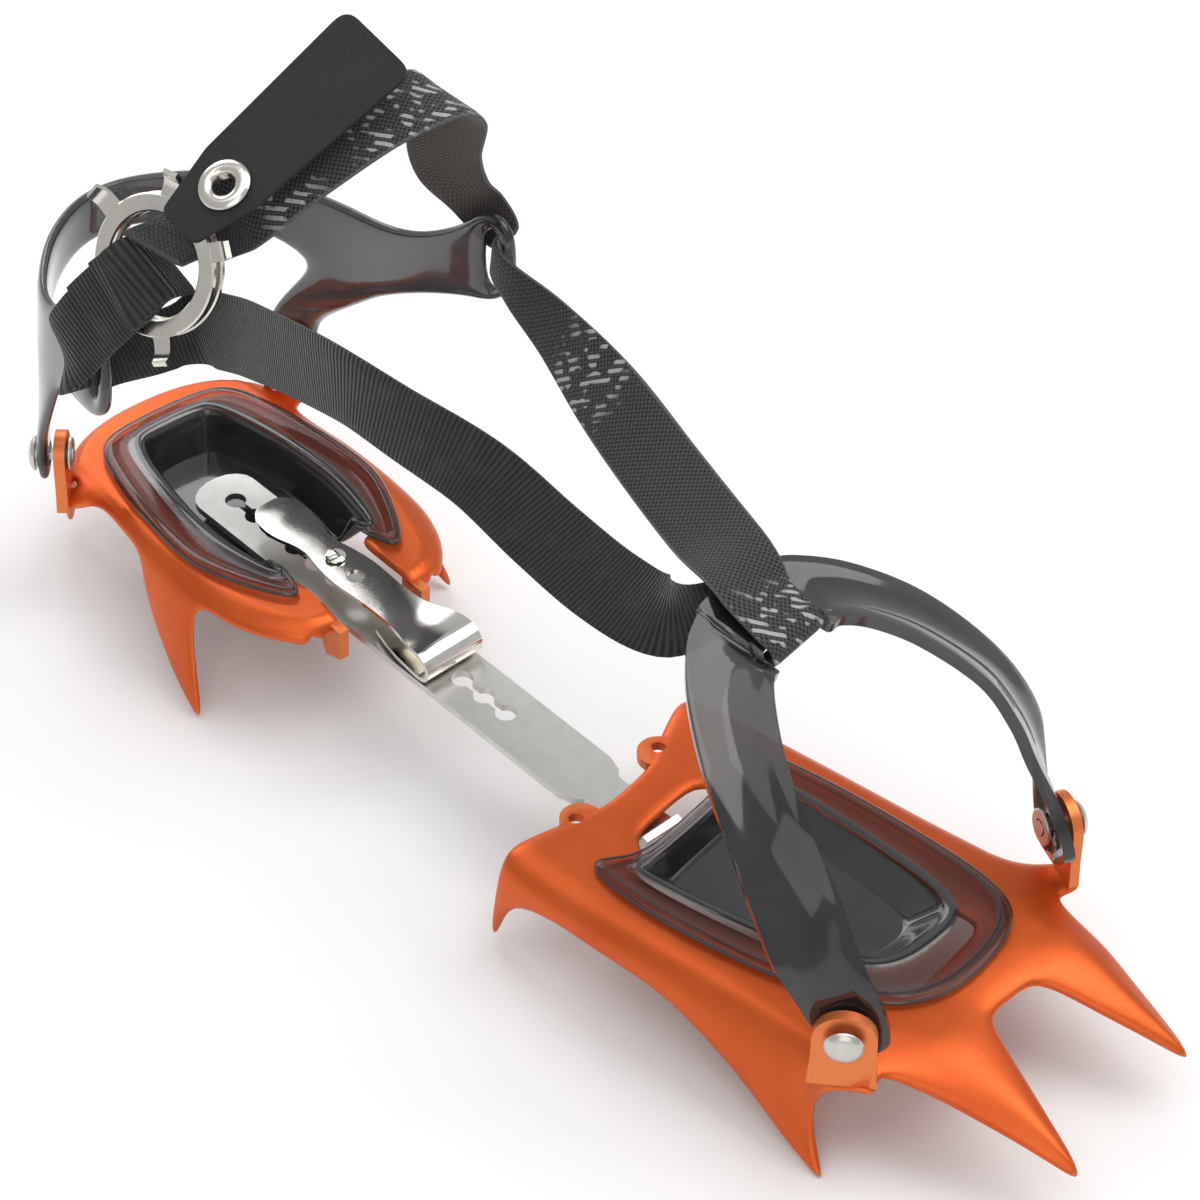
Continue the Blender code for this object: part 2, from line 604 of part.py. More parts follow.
hrows = heel_rows()
hmid = 7
hopen = set()
for i in range(4, 11):
    for j in (hmid - 2, hmid - 1, hmid, hmid + 1):
        hopen.add((i, j))
for i in (11, 12, 13, 14):
    for j in (hmid - 1, hmid):
        hopen.add((i, j))
heel_frame = grid_sheet("heel_frame", hrows, hopen, HEEL, orange_heel, SHEET, level=1)
HEEL_OUT = (-0.65, 0.76, 0.0)
for side in (-1, 1):
    out = (HEEL_OUT[0], side * HEEL_OUT[1], 0.0)
    at = (CRADLE_PIVOT[0], side * CRADLE_PIVOT[1], CRADLE_PIVOT[2])
    place = facing(at, out, frame=HEEL)
    shape = circle(0, 0, 6.4, 14, 0, 180) + [(-6.4, -7.0), (-7.4, -14.4), (7.4, -14.4), (6.4, -7.0)]
    tab = flat_shape("tab", [shape], -SHEET * 0.5, SHEET * 0.5, place, orange_heel, coll=cutters)
    heel_frame = cut(heel_frame, tab, "UNION")
    heel_frame = cut(heel_frame, cylinder("hole", 2.3, -6.0, 6.0, place, 16))
    ear_shape = [(-2.2, 22.0), (3.8, 24.0), (4.2, 33.2), (-4.0, 33.2), (-4.4, 27.0)]
    ear_mat = HEEL @ Matrix.Translation((11.2, side * 13.2, 0.0)) @ Matrix.Rotation(math.radians(90), 4, "X")
    ear = flat_shape("ear", [ear_shape], -1.4, 1.4, ear_mat, orange_heel, coll=cutters)
    heel_frame = cut(heel_frame, ear, "UNION")
smooth(flatten(heel_frame, HEEL_TOP, 0.5), 40.0)

# ---------------------------------------------------------------- heel anti-balling plate
heel_smoke = material("smoky_plastic_heel", SMOKE, 0.12, 0.0)
HPZ = HEEL_TOP + 0.65
h_outer = [(-85.5, 0), (-85.0, -12.0), (-83.0, -20.8), (-72.0, -24.6), (-54.0, -28.2), (-36.0, -29.9),
           (-25.6, -29.4),
           (-12.0, -23.8), (-1.4, -18.0), (-1.2, -15.4), (-8.0, -14.0), (-14.0, -13.2)]
h_lip = [(-79.6, 0), (-79.2, -8.8), (-78.0, -11.6), (-70.0, -15.2), (-52.0, -18.2), (-38.0, -19.4),
         (-28.0, -19.2),
         (-20.0, -18.0), (-12.0, -16.4), (-10.0, -14.8), (-13.0, -13.4), (-17.0, -13.0)]
h_floor = [(-76.2, 0), (-76.0, -7.4), (-75.0, -9.8), (-68.0, -13.0), (-52.0, -15.4), (-40.0, -15.8),
           (-32.0, -15.4),
           (-27.0, -14.2), (-23.6, -14.4), (-22.4, -13.9), (-22.6, -13.2), (-23.6, -12.8)]


def close_half(half):
    """The whole ring from its near half: the first point is on the middle line, the last beside the bar."""
    return half + [(x, -y) for x, y in reversed(half[1:])]


h_rings = [[(x, y, HPZ) for x, y in close_half(h_outer)],
           [(x * 0.5 + u * 0.5, y * 0.5 + w * 0.5, HPZ + 0.8)
            for (x, y), (u, w) in zip(close_half(h_outer), close_half(h_lip))],
           [(x, y, HPZ + 0.4) for x, y in close_half(h_lip)],
           [(x, y, HPZ - 11.4) for x, y in close_half(h_floor)]]
verts = [p for ring in h_rings for p in ring]
n = len(h_rings[0])
faces = []
for i in range(len(h_rings) - 1):
    for k in range(n):
        m = (k + 1) % n
        if k == n // 2:
            continue
        faces.append((i * n + k, i * n + m, (i + 1) * n + m, (i + 1) * n + k))
base = (len(h_rings) - 1) * n
for k in range(n // 2):
    quad = [base + k, base + k + 1, base + (n - k - 1) % n, base + (n - k) % n]
    faces.append(tuple(dict.fromkeys(quad)))
mesh = bpy.data.meshes.new("heel_antiball_plate")
mesh.from_pydata([(HEEL @ Vector(v)) * MM for v in verts], [], faces)
bm = bmesh.new()
bm.from_mesh(mesh)
bmesh.ops.recalc_face_normals(bm, faces=bm.faces)
if sum(f.normal.z * f.calc_area() for f in bm.faces) < 0:
    bmesh.ops.reverse_faces(bm, faces=bm.faces)
bm.to_mesh(mesh)
bm.free()
heel_plate = add_object("heel_antiball_plate", mesh, heel_smoke)
sol = heel_plate.modifiers.new("wall", "SOLIDIFY")
sol.thickness = 1.5 * MM
sol.offset = 1.0
sub = heel_plate.modifiers.new("round", "SUBSURF")
sub.levels = 1
sub.render_levels = 1
heel_plate = smooth(evaluated_copy(heel_plate), 50.0)

# ---------------------------------------------------------------- adjuster lever and its stud
mirror = material("polished_spring_steel", (0.82, 0.80, 0.77), 0.10, 1.0)
LEVER_T = 1.2
lever_mid = [(-112.0, 38.4), (-106.0, 38.0), (-98.0, 37.6), (-91.0, 37.2), (-86.0, 37.0), (-78.0, 36.8),
             (-70.0, 36.6), (-62.0, 36.4), (-55.0, 36.6), (-48.0, 37.4), (-42.5, 37.0), (-39.6, 34.4),
             (-39.6, 31.2),
             (-42.0, 29.7), (-47.0, 30.2), (-54.0, 30.8), (-62.0, 31.2)]
lever_wide = [2.0, 10.5, 13.0, 11.0, 10.6, 11.5, 12.2, 12.2, 13.6, 17.6, 18.6, 18.6, 18.6, 18.6, 18.4, 17.0,
              13.0]
adjuster_lever = band("adjuster_lever", [(x, 0, z) for x, z in lever_mid], [(0, 1, 0)] * len(lever_mid),
                      lever_wide, [LEVER_T] * len(lever_mid), WORLD, mirror, per=3)
adjuster_lever = cut(adjuster_lever,
                     cylinder("hole", 2.2, 33.0, 42.0, Matrix.Translation((STUD_X, 0, 0)), 18))
adjuster_lever = cut(adjuster_lever,
                     cylinder("hole", 2.5, 33.0, 42.0, Matrix.Translation((-76.6, -0.8, 0)), 20))
smooth(adjuster_lever, 50.0)
stud_low = bar_height(STUD_X) - BAR_THICK - 0.6
stud_profile = [(0.0, stud_low), (0.8, stud_low), (0.8, 33.0), (1.9, 34.6), (1.9, 37.95), (2.8, 37.95),
                (2.8, 38.5), (1.9, 39.2), (0.0, 39.4)]
adjuster_stud = turned("adjuster_stud", stud_profile, Matrix.Translation((STUD_X, 0, 0)), mirror, 20)

# ---------------------------------------------------------------- toe bail
bail_smoke = material("smoky_plastic_bail", SMOKE, 0.10, 0.0)
BAIL_T = 3.0
bail_rear = [(96.4, 42.6, 36.4), (90.9, 46.2, 43.0), (86.9, 50.0, 53.0), (83.0, 53.4, 63.0),
             (76.0, 52.2, 74.0),
             (66.0, 48.0, 84.5), (53.0, 41.0, 94.5), (40.5, 31.0, 102.0), (32.0, 20.5, 106.6),
             (28.6, 12.4, 109.0),
             (27.6, 9.0, 109.8), (27.0, 0.0, 110.2)]
bail_front = [(102.2, 39.1, 36.4), (105.7, 37.1, 42.0), (100.3, 37.2, 54.0), (93.0, 36.6, 65.0),
              (87.6, 35.8, 75.0),
              (79.0, 34.0, 85.0), (66.0, 27.0, 95.0), (57.0, 19.5, 101.0), (52.0, 13.6, 103.2),
              (50.6, 10.2, 102.6),
              (45.6, 9.6, 105.0), (44.4, 0.0, 105.2)]


def edge_loft(name, edge_a, edge_b, thick, frame, mat, per, rim, rim_w):
    """A moulded band between two edge lines, with raised rims along both edges."""
    ea = catmull(edge_a, per)
    eb = catmull(edge_b, per)
    rings = []
    n = len(ea)
    for i in range(n):
        p, q = ea[i], eb[i]
        mid_p = (p + q) * 0.5
        nxt = (ea[min(i + 1, n - 1)] + eb[min(i + 1, n - 1)]) * 0.5
        prv = (ea[max(i - 1, 0)] + eb[max(i - 1, 0)]) * 0.5
        run = (nxt - prv).normalized()
        a = (q - p)
        h = a.length * 0.5
        a.normalize()
        out = run.cross(a).normalized()
        t = thick * 0.5
        rw = min(rim_w, h * 0.45)
        e = h - rw
        s = min(1.2, e * 0.4)
        sec = [(-h, -t), (-h, t), (-e, t), (-e + s, t - rim), (e - s, t - rim), (e, t), (h, t), (h, -t),
               (e, -t), (e - s, -t + rim), (-e + s, -t + rim), (-e, -t)]
        rings.append([mid_p + a * u + out * v for u, v in sec])
    return loft(name, rings, frame, mat)


rear_line = [Vector((x, -y, z)) for x, y, z in bail_rear] + [Vector(p) for p in bail_rear[-2::-1]]
front_line = [Vector((x, -y, z)) for x, y, z in bail_front] + [Vector(p) for p in bail_front[-2::-1]]
toe_bail = edge_loft("toe_bail", rear_line, front_line, BAIL_T, FRONT, bail_smoke, 2, 0.8, 3.4)
for side in (-1, 1):
    out = (TAB_OUT[0], side * TAB_OUT[1], 0.0)
    at = (BAIL_PIVOT[0], side * BAIL_PIVOT[1], BAIL_PIVOT[2])
    place = facing(at, out, frame=FRONT)
    toe_bail = cut(toe_bail, cylinder("hole", BAIL_HOLE, -12.0, 4.0, place, 16))
smooth(toe_bail, 45.0)

# ---------------------------------------------------------------- heel cradle
cradle_smoke = material("smoky_plastic_cradle", SMOKE, 0.10, 0.0)


def cradle_half(side):
    """Stations from the slotted end round to the middle of the heel; top edge down to the pivot boss."""
    p = (CRADLE_PIVOT[0] + HEEL_OUT[0] * CRADLE_GAP, CRADLE_PIVOT[1] + HEEL_OUT[1] * CRADLE_GAP,
         CRADLE_PIVOT[2])
    t = (0.76, 0.65)
    if side > 0:
        rows = [
            [(13.0, 45.0, 131.0), (14.6, 45.0, 127.0), (14.6, 45.0, 118.0), (12.6, 45.0, 113.5)],
            [(9.0, 45.0, 135.0), (10.6, 45.0, 131.4), (10.6, 45.0, 112.6), (8.4, 45.0, 108.6)],
            [(2.0, 44.6, 133.0), (2.8, 44.6, 129.4), (2.8, 44.6, 109.8), (2.0, 44.6, 105.2)],
            [(-3.0, 44.2, 126.4), (-2.0, 44.2, 122.0), (-2.0, 44.2, 108.0), (-3.0, 44.2, 103.8)],
            [(-20.0, 43.0, 114.0), (-19.0, 43.0, 108.6), (-19.0, 43.0, 101.0), (-20.0, 43.0, 95.4)],
            [(-36.0, 43.4, 107.4), (-36.0, 43.4, 99.0), (-37.0, 43.4, 91.0), (-40.0, 43.4, 82.6)],
            [(-50.0, 43.4, 105.0), (-50.6, 43.4, 97.4), (-52.0, 43.4, 89.0), (-54.0, 43.4, 80.0)],
            [(-64.0, 41.6, 103.4), (-64.6, 41.6, 96.6), (-65.6, 41.6, 89.0), (-66.0, 41.6, 80.6)],
        ]
        legs = {5: 7.0, 6: 0.0, 7: -7.0}
    else:
        rows = [
            [(-24.4, 55.0, 124.0), (-23.0, 55.2, 119.0), (-23.0, 55.4, 106.0), (-25.0, 55.4, 100.0)],
            [(-28.6, 54.0, 129.0), (-26.8, 54.2, 124.6), (-27.2, 54.8, 100.6), (-29.4, 55.0, 95.4)],
            [(-37.0, 51.6, 129.0), (-35.0, 51.8, 123.4), (-35.4, 53.0, 99.6), (-37.4, 53.4, 92.6)],
            [(-43.0, 50.0, 124.0), (-41.6, 50.2, 119.0), (-42.0, 51.4, 98.0), (-43.6, 51.8, 90.6)],
            [(-50.0, 48.4, 115.6), (-49.4, 48.6, 110.0), (-49.4, 49.4, 97.0), (-50.6, 49.8, 88.6)],
            [(-57.0, 47.0, 109.6), (-57.0, 47.2, 103.0), (-57.6, 47.6, 94.0), (-59.0, 48.0, 84.6)],
            [(-65.0, 45.2, 106.6), (-65.4, 45.4, 100.0), (-66.0, 45.6, 91.4), (-67.4, 45.8, 81.6)],
            [(-73.6, 41.6, 104.6), (-74.2, 41.8, 98.0), (-75.0, 42.0, 90.0), (-77.0, 42.0, 82.0)],
        ]
        legs = {5: 6.0, 6: -0.6, 7: -7.2}
    rows += [
        [(-83.0, 35.4, 102.4), (-83.4, 35.4, 96.4), (-84.0, 35.4, 90.0), (-84.4, 35.4, 84.2)],
        [(-96.0, 25.0, 101.0), (-96.4, 25.0, 95.4), (-96.8, 25.0, 90.0), (-96.8, 25.0, 84.4)],
        [(-106.0, 11.0, 100.0), (-106.4, 11.0, 94.8), (-106.8, 11.0, 89.4), (-106.8, 11.0, 83.8)],
        [(-108.6, 0.0, 99.6), (-109.0, 0.0, 94.4), (-109.4, 0.0, 89.0), (-109.4, 0.0, 83.4)],
    ]
    for i, a in legs.items():
        bx, by = p[0] + t[0] * a, p[1] + t[1] * a
        tx, ty, tz = rows[i][3]
        rows[i] += [(tx * 0.62 + bx * 0.38, ty * 0.62 + by * 0.38, tz * 0.62 + 53.0 * 0.38),
                    (bx + (tx - bx) * 0.06, by + (ty - by) * 0.06, 56.0),
                    (bx, by, 46.5),
                    (bx - t[0] * a * 0.30, by - t[1] * a * 0.30, 39.6 if abs(a) > 1 else 38.4)]
    for row in rows:
        row += [None] * (8 - len(row))
    return [[None if q is None else (q[0], side * q[1], q[2]) for q in row] for row in rows]


near_rows = cradle_half(-1)
far_rows = cradle_half(1)
crows = near_rows + far_rows[-2::-1]
last = len(crows) - 1
chole = {(1, 1), (last - 2, 1)}
heel_cradle = grid_sheet("heel_cradle", crows, chole, HEEL, cradle_smoke, 3.2, level=1)
for side in (-1, 1):
    out = (HEEL_OUT[0], side * HEEL_OUT[1], 0.0)
    place = facing((CRADLE_PIVOT[0], side * CRADLE_PIVOT[1], CRADLE_PIVOT[2]), out, frame=HEEL)
    heel_cradle = cut(heel_cradle, cylinder("hole", CRADLE_HOLE, -2.0, 12.0, place, 16))
smooth(heel_cradle, 45.0)

# ---------------------------------------------------------------- rivets and washers
rivet_steel = material("satin_rivet_steel", (0.62, 0.60, 0.56), 0.32, 1.0)


def pivot_set(prefix, at, out, frame, head_low, shank_low, washer):
    """A domed rivet through a tab and a moulded arm, with its washer."""
    place = facing(at, out, frame=frame)
    h = head_low
    profile = [(0.0, h + 1.9), (1.8, h + 1.8), (3.4, h + 1.4), (4.4, h + 0.7), (4.7, h), (1.9, h),
               (1.9, shank_low), (0.0, shank_low)]
    turned(prefix + "_rivet", profile[::-1], place, rivet_steel, 16)
    low, high = washer
    section = [(2.25, low), (4.3, low), (4.7, low + 0.3), (4.7, high - 0.3), (4.3, high), (2.25, high)]
    rings = []
    for k in range(16):
        a = math.radians(22.5 * k)
        rings.append([place @ Vector((r * math.cos(a), r * math.sin(a), z)) for r, z in section])
    loft(prefix + "_washer", rings, WORLD, rivet_steel, False, True)


for side, word in ((-1, "right"), (1, "left")):
    out = (TAB_OUT[0], side * TAB_OUT[1], 0.0)
    at = (BAIL_PIVOT[0], side * BAIL_PIVOT[1], BAIL_PIVOT[2])
    pivot_set("toe_bail_" + word, at, out, FRONT, 1.8, -8.2, (-7.9, -6.9))
    out = (HEEL_OUT[0], side * HEEL_OUT[1], 0.0)
    at = (CRADLE_PIVOT[0], side * CRADLE_PIVOT[1], CRADLE_PIVOT[2])
    pivot_set("heel_cradle_" + word, at, out, HEEL, 6.8, -3.2, (-2.9, -1.9))

# ---------------------------------------------------------------- buckle rings
RING_AT = Vector((-100.0, -39.0, 143.0))
RING_N = Vector((0.208, -0.884, 0.416)).normalized()
RING_E1 = Vector((0.978, 0.188, -0.0885)).normalized()
RING_E2 = RING_N.cross(RING_E1)
ring_place = Matrix.Translation(RING_AT) @ Matrix((
    (RING_E1.x, RING_E2.x, RING_N.x), (RING_E1.y, RING_E2.y, RING_N.y),
    (RING_E1.z, RING_E2.z, RING_N.z))).to_4x4()
ring_steel = material("nickel_plated_ring_steel", (0.72, 0.69, 0.64), 0.20, 1.0)


def ring_solid(name, inner, outer, low, high, place, mat, sides=28):
    """A flat stamped ring with eased edges."""
    lip = 0.4
    section = [(inner, low + lip), (inner + lip, low), (outer - lip, low), (outer, low + lip),
               (outer, high - lip),
               (outer - lip, high), (inner + lip, high), (inner, high - lip)]
    rings = []
    for k in range(sides):
        a = 2 * math.pi * k / sides
        rings.append([place @ Vector((r * math.cos(a), r * math.sin(a), z)) for r, z in section])
    return loft(name, rings, WORLD, mat, False, True)


plain_ring = ring_solid("plain_ring", 13.0, 17.5, -2.6, -0.9, ring_place, ring_steel)
tabbed_ring = ring_solid("tabbed_ring", 13.0, 17.5, 0.9, 2.6, ring_place, ring_steel)
for angle in (35, 95, 155, -62):
    turn = ring_place @ Matrix.Rotation(math.radians(angle), 4, "Z")
    bar_pts = [(16.6, 0, 1.75), (19.6, 0, 1.75), (22.0, 0, 2.4), (23.6, 0, 4.4)]
    tab = band("ring_tab", [turn @ Vector(p) for p in bar_pts], [turn.to_3x3() @ Vector((0, 1, 0))] * 4,
               [5.0, 4.6, 4.4, 4.0], [1.5, 1.5, 1.5, 1.3], WORLD, ring_steel, per=2)
    tabbed_ring = cut(tabbed_ring, tab, "UNION")
smooth(plain_ring, 35.0)
smooth(tabbed_ring, 35.0)

# ---------------------------------------------------------------- webbing
web = material("black_webbing", WEBBING, 0.85, 0.0)


def fr(x, y, z):
    return tuple(FRONT @ Vector((x, y, z)))


def on_ring(u, v, w):
    return tuple(RING_AT + RING_E1 * u + RING_E2 * v + RING_N * w)


FY = tuple(FRONT.to_3x3() @ Vector((0, 1, 0)))
E1 = tuple(RING_E1)
lower_path = [((-110.4, -43.2, 112.8), (-0.1, 0.1, 1.0), 15.0),
              ((-103.0, -36.8, 117.6), (0.0, 0.1, 1.0), 17.0),
              ((-95.0, -31.6, 122.6), (0.0, 0.1, 1.0), WEB_WIDTH),
              ((-78.2, -34.8, 132.2), (0.0, 0.1, 1.0), WEB_WIDTH),
              ((-57.0, -40.4, 142.6), (0.0, 0.1, 1.0), WEB_WIDTH),
              ((-28.0, -44.6, 151.6), (0.0, 0.1, 1.0), WEB_WIDTH),
              ((-7.0, -43.0, 150.6), (0.1, 0.2, 1.0), WEB_WIDTH),
              ((13.0, -37.6, 145.0), (0.25, 0.4, 0.9), WEB_WIDTH),
              ((27.2, -30.0, 131.6), (0.35, 0.6, 0.75), WEB_WIDTH),
              ((37.0, -20.0, 117.0), (0.3, 0.8, 0.6), WEB_WIDTH),
              ((43.4, -8.6, 105.8), (0.1, 0.97, 0.12), 19.0), (fr(29.0, -2.0, 104.4), FY, 18.8),
              (fr(37.0, -0.2, 102.8), FY, 18.6), (fr(42.2, 0.0, 101.8), FY, 18.6)]
strap_lower = band("strap_lower", [p[0] for p in lower_path], [p[1] for p in lower_path],
                   [p[2] for p in lower_path], [WEB_THICK] * len(lower_path), WORLD, web, per=3)
upper_path = [(fr(43.6, 0.0, 101.4), FY, 18.6), (fr(46.6, 0.0, 101.6), FY, 18.6),
              (fr(48.8, 0.0, 104.0), FY, 18.6),
              (fr(47.6, 0.0, 107.0), FY, 18.6), (fr(43.6, 0.0, 108.8), FY, 18.6),
              (fr(36.4, 1.0, 111.4), FY, 18.8),
              ((47.6, 11.0, 113.2), (0.1, 0.98, 0.12), 19.2),
              ((31.7, 16.5, 111.2), (0.15, 0.9, 0.4), WEB_WIDTH),
              ((10.6, 23.0, 111.4), (0.2, 0.8, 0.55), WEB_WIDTH),
              ((-17.3, 31.0, 113.8), (0.2, 0.6, 0.75), WEB_WIDTH),
              ((-44.1, 37.4, 116.6), (0.1, 0.3, 0.95), 16.0), ((-61.4, 38.8, 120.4), (0.0, 0.05, 1.0), 12.4),
              ((-70.6, 42.4, 120.8), (0.1, 0.0, 1.0), 12.0),
              ((-73.6, 48.8, 122.4), (0.5, 0.2, 0.85), 12.4), ((-81.5, 47.4, 129.0), (0.8, 0.1, 0.6), 15.0),
              ((-84.5, 41.5, 138.0), (1.0, 0.0, 0.3), 18.0),
              ((-80.5, 35.0, 153.0), (1.0, 0.0, 0.1), WEB_WIDTH),
              ((-70.4, 28.6, 172.0), (1.0, 0.0, -0.1), WEB_WIDTH),
              ((-67.6, 22.0, 180.4), (1.0, 0.0, -0.15), WEB_WIDTH),
              ((-72.4, 8.0, 177.8), (1.0, 0.0, -0.15), WEB_WIDTH),
              ((-80.2, -12.0, 167.6), (1.0, 0.1, -0.2), WEB_WIDTH),
              ((-86.8, -22.6, 158.6), (1.0, 0.15, -0.15), WEB_WIDTH), (on_ring(2.2, 9.6, -9.0), E1, 19.0),
              (on_ring(0.4, 6.6, -4.4), E1, 18.6), (on_ring(0.0, 5.6, 0.0), E1, 18.6),
              (on_ring(0.0, 4.6, 5.0), E1, 18.6)]
strap_upper = band("strap_upper", [p[0] for p in upper_path], [p[1] for p in upper_path],
                   [p[2] for p in upper_path], [WEB_THICK] * len(upper_path), WORLD, web, per=3)
ring_path = [(on_ring(0.0, 1.4, -7.0), E1, 18.6), (on_ring(0.0, -3.6, -4.4), E1, 18.6),
             (on_ring(0.0, -5.8, 0.0), E1, 18.6), (on_ring(-0.6, -8.4, 4.8), E1, 18.6),
             (on_ring(-1.0, -14.2, 8.6), E1, 15.0),
             ((-106.6, -57.6, 121.4), (0.85, 0.1, -0.55), 13.6),
             ((-113.4, -57.4, 113.8), (0.3, 0.0, -0.95), 13.6),
             ((-115.1, -50.1, 112.0), (-0.05, 0.0, -1.0), 14.0),
             ((-113.4, -45.6, 111.8), (-0.1, 0.0, -1.0), 14.0)]
ring_strap = band("ring_strap", [p[0] for p in ring_path], [p[1] for p in ring_path],
                  [p[2] for p in ring_path], [WEB_THICK] * len(ring_path), WORLD, web, per=3)
for ob in (strap_lower, strap_upper, ring_strap):
    smooth(ob, 50.0)

# ---------------------------------------------------------------- retainer flap and its eyelet
flap_mat = material("black_coated_sheet", (0.035, 0.035, 0.036), 0.75, 0.0)
FLAP_TIP = Vector((-89.2, -41.0, 160.2))
FLAP_TOP = Vector((-79.4, 14.4, 193.0))
flap_run = (FLAP_TOP - FLAP_TIP).normalized()
FLAP_ACROSS = Vector((0.99, 0.0, -0.15))
flap_w = (FLAP_ACROSS - flap_run * flap_run.dot(FLAP_ACROSS)).normalized()
flap_n = flap_w.cross(flap_run).normalized()
flap_len = (FLAP_TOP - FLAP_TIP).length
flap_place = Matrix.Translation(FLAP_TIP) @ Matrix((
    (flap_w.x, flap_run.x, flap_n.x), (flap_w.y, flap_run.y, flap_n.y),
    (flap_w.z, flap_run.z, flap_n.z))).to_4x4()
flap_shape = rounded([(-6.6, 0.0), (6.6, 0.0), (11.0, 18.0), (13.0, flap_len), (-13.0, flap_len),
                      (-11.0, 18.0)],
                     [3.0, 3.0, 8.0, 4.5, 4.5, 8.0])
retainer_flap = flat_shape("retainer_flap", [flap_shape, circle(0.6, 15.0, 3.7, 20)], -0.6, 0.6, flap_place,
                           flap_mat)
smooth(retainer_flap, 30.0)
eyelet_place = flap_place @ Matrix.Translation((0.6, 15.0, 0.0))
eye_section = [(2.9, -1.5), (4.4, -1.9), (6.4, -1.2), (6.4, -0.95), (3.35, -0.95), (3.35, 0.95), (6.4, 0.95),
               (6.6, 1.2), (5.6, 1.9), (4.4, 2.1), (3.2, 1.6), (2.9, 0.9)]
eye_rings = []
for k in range(20):
    a = 2 * math.pi * k / 20
    eye_rings.append([eyelet_place @ Vector((r * math.cos(a), r * math.sin(a), z)) for r, z in eye_section])
flap_eyelet = loft("flap_eyelet", eye_rings, WORLD, ring_steel, False, True)
smooth(flap_eyelet, 35.0)

# ---------------------------------------------------------------- origins on the joint axes


def set_origin(name, point):
    """Move the object's origin to a world point without moving its shape."""
    ob = bpy.data.objects[name]
    shift = Vector(point) * MM
    ob.data.transform(Matrix.Translation(-shift))
    ob.location = shift


set_origin("toe_bail", FRONT @ Vector((BAIL_PIVOT[0], 0.0, BAIL_PIVOT[2])))
set_origin("heel_cradle", HEEL @ Vector((CRADLE_PIVOT[0], 0.0, CRADLE_PIVOT[2])))
LEVER_PIVOT = (-43.5, 0.0, 33.3)
for name in ("adjuster_lever", "adjuster_stud"):
    set_origin(name, LEVER_PIVOT)
for name in ("plain_ring", "tabbed_ring"):
    set_origin(name, RING_AT - RING_E2 * 12.0)
for name in ("retainer_flap", "flap_eyelet"):
    set_origin(name, FLAP_TIP)
for name in ("heel_frame", "heel_antiball_plate", "heel_cradle_right_rivet", "heel_cradle_left_rivet",
             "heel_cradle_right_washer", "heel_cradle_left_washer"):
    set_origin(name, (STUD_X, 0.0, BAR_REAR_Z))

# the middle of the object's footprint becomes the origin, with the ground under the points at z = 0
ORIGIN = Vector((-7.566, 4.062, 0.427))
for ob in parts.objects:
    ob.location -= ORIGIN * MM
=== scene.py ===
"""Looks for the strap-on crampon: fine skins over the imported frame, procedural materials, studio, camera.
+X is towards the toe, +Y the wearer's left, +Z up. Lengths are millimetres in the sections' own frames, and
are scaled to metres where the meshes are made."""
import json
import math

import bmesh
import bpy
from mathutils import Matrix, Vector

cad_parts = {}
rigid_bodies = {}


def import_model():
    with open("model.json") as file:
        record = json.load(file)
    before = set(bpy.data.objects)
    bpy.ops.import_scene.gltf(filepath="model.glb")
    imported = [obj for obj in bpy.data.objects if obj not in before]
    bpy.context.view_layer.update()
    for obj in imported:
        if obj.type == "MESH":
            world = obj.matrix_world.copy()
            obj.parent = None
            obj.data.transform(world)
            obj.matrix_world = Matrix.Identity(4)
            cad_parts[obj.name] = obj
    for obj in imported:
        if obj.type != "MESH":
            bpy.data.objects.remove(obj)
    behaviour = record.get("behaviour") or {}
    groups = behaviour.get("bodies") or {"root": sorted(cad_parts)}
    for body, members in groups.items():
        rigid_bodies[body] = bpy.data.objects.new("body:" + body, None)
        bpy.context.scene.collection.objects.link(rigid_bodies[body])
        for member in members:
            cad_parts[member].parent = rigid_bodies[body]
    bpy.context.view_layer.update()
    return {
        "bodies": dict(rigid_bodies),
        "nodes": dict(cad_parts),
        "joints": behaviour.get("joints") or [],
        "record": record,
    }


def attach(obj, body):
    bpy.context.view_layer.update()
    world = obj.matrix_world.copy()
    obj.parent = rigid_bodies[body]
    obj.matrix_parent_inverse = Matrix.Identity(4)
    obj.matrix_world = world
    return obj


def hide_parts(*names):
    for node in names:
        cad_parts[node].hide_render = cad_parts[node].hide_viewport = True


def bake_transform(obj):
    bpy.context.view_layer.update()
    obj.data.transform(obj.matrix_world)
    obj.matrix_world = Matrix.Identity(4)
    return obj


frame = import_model()

MM = 0.001

# placement of the two sections on the bar
FRONT_AT = (21.3, 2.0)
FRONT_YAW = 8.3
HEEL_AT = (-80.2, 0.1)
HEEL_YAW = -3.65
SHEET = 3.0                  # stamped aluminium thickness
FRONT_TOP = 29.5             # height of the front section's top face
HEEL_TOP = 35.0              # height of the heel section's top face
BAR_WIDTH = 18.4
BAR_THICK = 2.0
HOLE_PITCH = 8.2
HOLE_RADIUS = 2.9
STUD_X = -85.5               # the keyhole the lever's stud sits in
REAR_HOLE_X = STUD_X - 5 * HOLE_PITCH
SHORT_ROW_X = -36.2          # the first of the three keyholes near the front section
BAR_REAR_Z = 30.2            # top face of the bar at the stud
BAR_FRONT_Z = 25.6           # top face of the bar at the front section's rear edge
BAIL_PIVOT = (99.3, 46.5, 43.6)
CRADLE_PIVOT = (-76.0, 37.2, 46.5)
WEB_WIDTH = 19.5
WEB_THICK = 1.5

